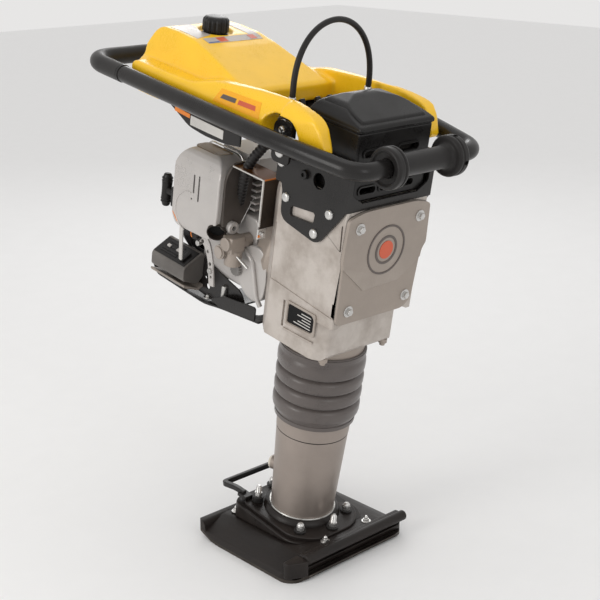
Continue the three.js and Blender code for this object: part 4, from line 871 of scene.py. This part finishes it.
    # Curved stay with holes, between the cover and the box.
    stay_line = bent([(236, 514, 0), (203, 512, 0, 20), (189, 486, 0, 26), (180, 436, 0)], 8)
    left, right = [], []
    for i, p in enumerate(stay_line):
        d = (stay_line[min(i + 1, len(stay_line) - 1)] - stay_line[max(i - 1, 0)]).normalized()
        n = Vector((-d.y, d.x, 0))
        w = 9 - 3 * i / len(stay_line)
        left.append(((p + n * w).x, (p + n * w).y))
        right.append(((p - n * w).x, (p - n * w).y))
    stay = prism("x", left + right[::-1], -103, -100)
    stay = cut(stay, *[rod("x", r, at, -110, -90, 0, 24) for r, at in ((4, (212, 507)), (3, (196, 494)),
        (3.4, (188, 474)), (2.6, (183, 452)))])
    piece("cover_stay", soften(stay, 0.6, 2), "engine_grey")
    small = [rod("x", 5, at, -106, -98, 1, 24) for at in ((222, 500), (186, 462))]
    piece("stay_bolts", together(*small), "bright_steel")
    fins = [lathe([(0, x), (12.5 if k % 2 else 9.5, x), (12.5 if k % 2 else 9.5, x + 2.2, 0.4),
        (0, x + 2.2)], "x", (160, 508), 40) for k, x in enumerate([-112 + 2.2 * i for i in range(10)])]
    piece("fuel_pump", together(*fins), "cast_aluminium")
    rod_line = tube(bent([(-92, 168, 522), (-92, 140, 508, 8), (-86, 112, 492)], 6), 2.6, 12)
    ball = lathe([(0, -5), (4, -4.5, 2), (5, 0, 3), (4, 4.5, 2), (0, 5)], "z", (0, 0), 24)
    moved(ball, -92, 166, 521)
    piece("governor_rod", together(rod_line, ball), "bright_steel")
    cap = [rod("x", 11, (158, 470), -74, -57, 1.6, 40)]
    for k in range(14):
        t = math.tau * k / 14
        cap.append(soft_block(-73, -61, 158 + 11 * math.cos(t) - 1.2, 158 + 11 * math.cos(t) + 1.2,
            470 + 11 * math.sin(t) - 1.2, 470 + 11 * math.sin(t) + 1.2, 0.5, 2))
    cap.append(rod("x", 7.2, (158, 470), -58, -43.5, 0.5, 32))
    piece("oil_filler_cap", together(*cap), "plate_grey", "dipstick")
    lobe = melt(together(prism("x", [(150, 520, 24), (96, 528, 24), (84, 470, 26), (96, 424, 26),
        (142, 430, 26), (162, 470, 20)], -66, -40)), 1.6, 6)
    piece("case_lobe", lobe, "engine_grey", flat=False, angle=50)
    rib = tube(bent([(-66, 150, 512), (-68, 122, 500, 14), (-68, 104, 440, 20), (-64, 96, 424)],
        8), 4.2, 14)
    piece("lobe_rib", rib, "engine_grey", flat=False, angle=50)

    guard = [(85, 398), (190, 384, 20), (226, 376, 14), (366, 380, 16), (378, 396), (375.5, 397),
        (364, 383, 12), (226, 379.5, 14), (191, 387.5, 20), (85, 401.5)]
    plate = prism("x", guard, -74, 70)
    windows = [prism("z", [(-52, a, 8), (48, a, 8), (48, b, 8), (-52, b, 8)], 360, 420) for a, b in
        ((110, 170), (240, 290), (304, 352))]
    posts = [soft_block(x - 4.5, x + 4.5, 200, 213, 382, 433.5, 1.5, 2) for x in (-50, 52)]
    lug = soft_block(-40, 40, 82.4, 96, 398, 413, 2, 2)
    walls = [soften(prism("x", [(96, 400), (190, 387), (214, 392, 6), (176, 412, 6), (96, 424, 6)],
        *sorted((s * 72 - 2, s * 72 + 1))), 0.8, 2) for s in (-1, 0.95)]
    piece("belly_guard", together(soften(cut(plate, *windows), 0.8, 2), *posts, *walls, lug), "black_steel")
    nuts = [bolt("z", at, 384, 1, 9, 6, 8) for at in ((-62, 232), (-62, 298), (58, 232), (58, 298))]
    nuts += [rod("z", 6, (x, 190), 392, 424, 1.5, 24) for x in (-62, 60)]
    piece("guard_bolts", together(*nuts), "bright_steel")


def build_starter():
    # A T whose bar is crowned. Its rope is a piece of its own.
    bar = lathe([(0, 528), (6, 528, 4), (9.5, 540, 10), (8.6, 558, 8), (9.5, 577, 10), (6, 588, 4),
        (0, 588)], "z", (STARTER[0], 331), 40)
    ridge = [lathe([(9, z), (10.2, z + 1.4, 0.8), (9, z + 2.8)], "z", (STARTER[0], 331), 32) for z in (536,
        541, 573, 578)]
    neck = lathe([(0, 304), (6.5, 304, 1), (7.5, 325, 3), (0, 325)], "y", STARTER, 32)
    made = together(bar, neck, *ridge)
    piece("recoil_handle", made, "black_plastic", "starter_handle", flat=False, angle=50)


def build_rope():
    start = Vector((STARTER[0], 262, STARTER[1]))
    end = Vector((STARTER[0], 306, STARTER[1]))
    points = [start.lerp(end, i / 20) for i in range(21)]
    radii = [2.4 + 0.35 * math.sin(i * 1.9) for i in range(21)]
    rope = tube(points, 2.4, 14, radii)
    rope.data.transform(LEAN)
    rope.name = rope.data.name = "starter_rope"
    rope.data.materials.append(LOOKS["bellows_rubber"])
    rope.data.shade_smooth()
    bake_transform(rope)


# ---- Handle, tank and roller -----------------------------------------------------------------
def build_handle():
    seam = 389
    side = lambda s: [(s * TUBE_SIDE, seam, TUBE_UP), (s * TUBE_SIDE, 0, TUBE_UP, 160),
        (s * 131, *ROLLER, 32)]
    path = bent([*side(-1), *side(1)[::-1]], 12)
    bars = [tube(path, 14, 36)]
    for s in (-1, 1):
        x0, x1 = both(s, 117, 122)
        flag = prism("x", [(8, 708, 10), (48, 708, 10), (48, 776, 16), (8, 776, 16)], x0, x1)
        bars.append(soften(flag, 0.8, 2))
        a0, a1 = both(s, 120, 150)
        bars.append(soft_block(a0, a1, 16, 40, 742, 747, 0.8, 2))
    piece("handle_frame", together(*bars), "black_steel", "handle", angle=40)
    grip = bent([(-TUBE_SIDE, seam + 0.3, TUBE_UP), (-TUBE_SIDE, 484, TUBE_UP, 62),
        (TUBE_SIDE, 484, TUBE_UP, 62), (TUBE_SIDE, seam + 0.3, TUBE_UP)], 16)
    piece("rear_grip", tube(grip, 15.2, 36), "black_rubber", "handle", angle=40)
    rings = [lathe([(14.1, 384), (15.2, 384, 0.6), (15.2, 389.1, 0.6), (14.1, 389.1)], "y",
        (s * TUBE_SIDE, TUBE_UP), 48) for s in (-1, 1)]
    piece("grip_rings", together(*rings), "black_steel", "handle")
    for s, tag in SIDES:
        x0, x1 = both(s, 95.6, 116.7)
        puck = lathe([(0, x0), (17, x0, 1), (17, x0 + 3, 1), (14, x0 + 10, 5), (17, x1 - 3, 1), (17, x1, 1),
            (0, x1)], "x", MOUNT, 48)
        piece(f"shock_mount_{tag}", puck, "black_rubber")
        piece(f"mount_bolt_{tag}", dome_bolt("x", MOUNT, s * 122, s, 8.5), "zinc", "handle")
        piece(f"mount_screw_{tag}", dome_bolt("x", (28, 762), s * 122, s, 6), "bright_steel", "handle")

    ring = lambda s: [(15, s * 72), (24, s * 74, 2), (26, s * 78, 2), (29, s * 78, 2), (32, s * 75, 3),
        (32, s * 66.5, 1), (30.6, s * 65.5, 0.6), (30.6, s * 63.5, 0.6), (32, s * 62.5, 1), (32, s * 59, 3),
        (29, s * 56, 3)]
    profile = ring(-1) + [(20, -55, 5), (17.5, -48, 6), (17.5, 48, 6), (20, 55, 5)] + ring(1)[::-1]
    roller = lathe(profile, "x", ROLLER, 112)
    pits = []
    for x in (-53, 70):
        for k in range(4):
            t = Matrix.Translation((x, *ROLLER)) @ Matrix.Rotation(math.radians(90 * k + 4), 4, "X")
            pits.append(moved(rod("y", 4, (0, 0), -40, -17 if x < 0 else -26, 1.5, 24), turn=t))
    roller = cut(roller, *pits)
    piece("roller", roller, "black_rubber", "roller", angle=40)


def build_tank():
    plan_side = [(402, 722, 12), (430, 768, 10), (425, 786, 8), (406, 826, 16), (316, 829, 50),
        (152, 782, 6), (150, 752, 4), (318, 752, 4), (326, 722, 8)]
    section = [(-125, 700), (-125, 769, 5), (-92, 776, 4), (-70, 842), (70, 842), (92, 776, 4),
        (125, 769, 5), (125, 700)]
    plan = [(-125, 397, 14), (-82, 427, 40), (82, 427, 40), (125, 397, 14), (125, 140), (-125, 140)]
    hump = common(prism("x", plan_side, -125, 125), prism("y", section, 100, 440),
        prism("z", plan, 700, 900))
    saddle = prism("x", [(246, 752), (246, 778), (204, 791, 20), (150, 780, 4), (150, 752)], -104, 104)
    whole = [hump, saddle]
    slim = [(138, 740), (138, 769, 8), (124, 797, 16), (104, 810, 8), (101, 812), (101, 740)]
    full = [(138, 740), (138, 780, 12), (128, 802, 12), (104, 810, 8), (101, 812), (101, 740)]
    for s in (-1, 1):
        for shape, low, high in ((slim, 25, 400), (full, -100, 25.2)):
            arm = prism("x", [(392, 751, 6), (396, 765, 4), (390, 776, 6), (236, 778, 30), (190, 794, 40),
                (98, 803, 60), (2, 808, 70), (-52, 796, 50), (-70, 756, 16), (-68, 747, 4), (-56, 744, 4)],
                *both(s, 138, 101), 0.1)
            top = prism("z", [(s * 138, 396, 8), (s * 138, 0, 50), (s * 126, -76, 10), (s * 108, -76, 6),
                (s * 102, 60, 30), (s * 102, 396)], 700, 900, 0.1)
            rise = prism("y", [(s * x, *rest) for x, *rest in shape], low, high, 0.1)
            whole.append(common(arm, top, rise))
    tank = whole[0]
    for other in whole[1:]:
        join(tank, other)
    arch = prism("x", [(-19, 730), (62, 730), (60, 785, 32), (-17, 785, 32)], -160, 160)
    seat = rod("z", 29, (0, 346), 821, 900, 0, 64)
    tank = cut(tank, arch, seat)
    tank = melt(tank, 2.1, 12)
    surface = surface_of(tank)
    piece("fuel_tank", tank, "tank_yellow", "handle", flat=False, angle=60)
    neck = lathe([(15, 812), (22, 812), (22, 823.2, 1), (15, 823.2, 1)], "z", (0, CAP_BACK))
    piece("filler_neck", neck, "black_plastic", "handle")
    gasket = lathe([(9, 821.4), (19, 821.4, 0.5), (19, 824, 0.5), (9, 824)], "z", (0, CAP_BACK))
    piece("cap_gasket", gasket, "black_rubber", "handle")
    flutes = []
    for k in range(168):
        t = math.tau * k / 168
        wave = 0.5 + 0.5 * math.cos(t * 14)
        flutes.append((22.9 - 1.9 * wave**3, t))
    layers = [(0.93, 825), (1, 826), (1, 842), (0.965, 846), (0.86, 849.2), (0.66, 850.6), (0.3, 851)]
    vertices, faces = [], []
    for share, z in layers:
        for r, t in flutes:
            r = r * share if z < 847 else 22 * share
            vertices.append((r * math.cos(t), CAP_BACK + r * math.sin(t), z))
    n = len(flutes)
    for i in range(len(layers) - 1):
        for k in range(n):
            j = (k + 1) % n
            faces.append((i * n + k, i * n + j, (i + 1) * n + j, (i + 1) * n + k))
    faces += [tuple(range(n)), tuple(range((len(layers) - 1) * n, len(layers) * n))]
    piece("fuel_cap", as_object(vertices, faces), "black_plastic", "cap", angle=45)

    grey, red = "label_grey", "label_red"
    flat = (
        ("top", grey, [(-66, 385), (-18, 392), (-30, 322), (-66, 312)], {}),
        ("front", grey, [(-56, 311), (62, 311), (62, 292, 826), (-56, 292, 826)], {}),
        ("mark", red, [(-30, 309), (-12, 309), (-12, 294), (-30, 294)], dict(columns=6, rows=5, lift=0.6)),
        ("mark_far", red, [(38, 309), (52, 309), (52, 295), (38, 295)], dict(columns=6, rows=5, lift=0.6)),
        ("stripe", "label_blue", [(-54, 296.5), (-32, 296.5), (-32, 293.5), (-54, 293.5)],
            dict(columns=6, rows=3, lift=0.6)),
        ("edge", grey, [(45, 380), (64, 380), (64, 300), (45, 300)], {}),
    )
    for tag, look, corners, size in flat:
        above = [(x, y, *(z or [830])) for x, y, *z in corners]
        decal(f"label_{tag}", surface, above, (0, 0, -1), look, **size)
    for s, side in SIDES:
        for tag, look, corners, size in (
            ("label", "label_amber", [(166, 789), (74, 792), (66, 768), (176, 766)], (24, 8)),
            ("stripe", red, [(120, 783), (82, 784), (79, 777), (120, 776)], (12, 4, 0.65)),
            ("rule", "badge_dark", [(158, 782), (126, 783), (126, 776), (161, 775)], (12, 4, 0.65)),
        ):
            beside = [(s * 140, y, z) for y, z in corners]
            decal(f"side_{tag}_{side}", surface, beside, (-s, 0, -0.12), look, *size)

    cheek = [(112, 708), (150, 702, 10), (196, 700, 14), (240, 704, 10), (262, 714, 8), (318, 738, 4),
        (318, 746), (112, 746)]
    floor = soft_block(-126, 126, 112, 316, 742, 746, 0.8, 2)
    cheeks = [soften(prism("x", cheek, *both(s, 126, 130)), 1.2, 3) for s in (-1, 1)]
    tabs = [soft_block(*both(s, 128, 143), 180, 210, 742, 746, 0.6, 2) for s in (-1, 1)]
    piece("tank_frame", together(floor, *cheeks, *tabs), "black_steel", "handle")
    for s, tag in SIDES:
        x0, x1 = both(s, 130, 130.8)
        label = slab("x", [(277, 727, 1), (237, 725, 1), (237, 718, 1), (277, 720, 1)], x0, x1, 0.2, 2)
        piece(f"console_label_{tag}", label, "orange_edge", "handle")
        plate = slab("x", [(235, 724, 1), (152, 723, 1), (152, 708, 1), (235, 708, 1)], x0, x1, 0.3, 2)
        piece(f"console_plate_{tag}", plate, "plate_silver", "handle")

    clamp = cut(soft_block(138, 178, 286, 306, 733, 761, 2.5, 3),
        rod("y", 14.3, (TUBE_SIDE, TUBE_UP), 270, 320, 0, 48), block(170, 190, 270, 320, 743, 765))
    piece("throttle_bracket", clamp, "black_plastic", "handle")
    arm = slab("x", [(291, 722, 3), (301, 722, 3), (300, 688, 4), (292, 688, 4)], 152, 162, 1.6, 3)
    lever = together(rod("x", 9, (296, 723.5), 146, 168, 1.5), arm, rod("x", 8, (296, 689), 150, 164, 3))
    piece("throttle_lever", lever, "black_plastic", "throttle")


# ---- Air filter and lifting bow ------------------------------------------------------------------
def build_filter():
    box = prism("y", [(-80, 676, 10), (80, 676, 10), (80, 785), (-80, 785)], -92, 18)
    box = soften(box, 4, 4)
    tools, rims = [block(-74, 74, -86, 12, 684, 790)], []
    for x, z, w in ((-46, 752, 20), (30, 752, 22), (-50, 694, 17), (-6, 694, 17), (34, 694, 17),
            (44, 716, 20), (-50, 716, 17)):
        tools.append(prism("y", [(x - w, z - 5, 5), (x + w, z - 5, 5), (x + w, z + 5, 5), (x - w, z + 5,
            5)], -98, -84))
        ring = prism("y", [(x - w - 3, z - 8, 8), (x + w + 3, z - 8, 8), (x + w + 3, z + 8, 8),
            (x - w - 3, z + 8, 8)], -94, -91)
        hole = prism("y", [(x - w, z - 5, 5), (x + w, z - 5, 5), (x + w, z + 5, 5), (x - w, z + 5,
            5)], -98, -88)
        rims.append(soften(cut(ring, hole), 0.7, 2))
    tools.append(rod("x", 10, (0, 720), -90, -70, 0))
    piece("air_filter_box", together(cut(box, *tools), *rims), "black_plastic")
    foam = soft_block(-66, 66, -76, 4, 690, 778, 3, 3)
    piece("filter_element", foam, "filter_foam")

    lid_side = [(-94, 786, 1), (-93, 793, 4), (-12, 818, 22), (12, 813, 12), (20, 786)]
    lid_front = [(-82, 784), (82, 784), (81, 796, 6), (68, 808, 16), (0, 821, 70), (-68, 808, 16),
        (-81, 796, 6)]
    lid = common(prism("x", lid_side, -82, 82, 0.1), prism("y", lid_front, -100, 30, 0.1))
    rim = slab("z", [(-82, -94, 8), (82, -94, 8), (82, 20, 8), (-82, 20, 8)], 785.2, 789.5, 1, 3)
    lid = melt(cut(lid, block(-74, 74, -86, 12, 780, 790)), 1.5, 5)
    panel_side = [(-86, 790), (-85, 798.5, 4), (-14, 820.5, 30), (6, 816, 10), (10, 790)]
    panel_front = [(-70, 788), (70, 788), (68, 806, 6), (58, 813, 16), (0, 823.5, 66), (-58, 813, 16),
        (-68, 806, 6)]
    panel = common(prism("x", panel_side, -70, 70, 0.1), prism("y", panel_front, -100, 30, 0.1))
    panel = melt(panel, 1.5, 4)
    piece("air_filter_lid", together(lid, rim, panel), "black_plastic", flat=False, angle=50)
    latch = [soft_block(-12, 12, 19.6, 24, 760, 792, 1.5, 2), soft_block(-7, 7, 23, 30, 786, 800, 2, 3)]
    piece("lid_latch", together(*latch), "black_steel")


def build_lifting():
    posts = []
    for s in (-1, 1):
        x0, x1 = both(s, 76, 89.5)
        posts.append(soft_block(x0, x1, 44, 66, 664.4, 776, 1.5, 3))
    bar = soft_block(-80, 80, 50, 62, 756, 768, 1.5, 3)
    hooks = [slab("x", [(62, 756), (84, 762, 3), (92, 778, 3), (86, 784, 2), (80, 770, 3), (62, 768)],
        x - 5, x + 5, 1, 2) for x in (-30, 4, 30)]
    piece("lifting_bracket", together(*posts, bar, *hooks), "black_steel")
    for s, tag in SIDES:
        ferrule = lathe([(0, 776.3), (6.4, 776.3, 0.8), (6.8, 780, 1), (6.2, 784, 1), (6.8, 788, 1),
            (6.2, 792, 1), (6.8, 796, 1), (5.6, 800, 1), (0, 800)], "z", (s * 83, 55), 40)
        piece(f"ferrule_{tag}", ferrule, "zinc")
    arch = [Vector((-83, 55, 800.3))]
    steps = 72
    for i in range(steps + 1):
        a = math.pi * (1 - i / steps)
        arch.append(Vector((83 * math.cos(a), 55 + 7 * math.sin(a), 808 + 104 * max(0,
            math.sin(a)) ** 0.86)))
    arch.append(Vector((83, 55, 800.3)))
    piece("lifting_cable", tube(arch, 4.8, 24), "black_rubber", flat=False, angle=60)


# ---- Stage and light ----------------------------------------------------------------------------
def area(name, at, aim, size, power, color=(1, 1, 1)):
    lamp = bpy.data.lights.new(name, "AREA")
    lamp.shape = "RECTANGLE"
    lamp.size, lamp.size_y = size
    lamp.energy = power
    lamp.color = color
    made = bpy.data.objects.new(name, lamp)
    bpy.context.scene.collection.objects.link(made)
    made.location = at
    made.rotation_euler = (Vector(at) - Vector(aim)).to_track_quat("Z", "Y").to_euler()


def build_stage():
    sheet = bpy.data.meshes.new("floor")
    sheet.from_pydata([(-8, -8, 0), (8, -8, 0), (8, 8, 0), (-8, 8, 0)], [], [(0, 1, 2, 3)])
    ground = bpy.data.objects.new("floor", sheet)
    bpy.context.scene.collection.objects.link(ground)
    ground.data.materials.append(finish_look("floor_pale", (0.86, 0.86, 0.86), 0.75, grain=0.004, bump=0.02,
        speck=0.0, blotch=0.01))
    world = bpy.data.worlds.new("studio")
    bpy.context.scene.world = world
    world.use_nodes = True
    world.node_tree.nodes["Background"].inputs["Color"].default_value = (1, 0.99, 0.98, 1)
    world.node_tree.nodes["Background"].inputs["Strength"].default_value = 0.8
    area("key", (-2.4, 0.3, 1.2), (0, 0, 0.5), (0.9, 1.4), 17, (1, 0.985, 0.96))
    area("front", (-0.4, -2.6, 1.4), (0, 0, 0.45), (0.8, 1.2), 5)
    area("rim", (1.7, 1.9, 1.8), (0, 0, 0.6), (1.0, 1.0), 8)
    area("top", (0.1, 0.0, 2.7), (0, 0, 0.6), (1.2, 1.2), 3)



build_foot()
build_bellows()
build_springs()
build_crankcase()
build_plates()
build_engine()
build_starter()
build_rope()
build_handle()
build_tank()
build_filter()
build_lifting()
build_stage()
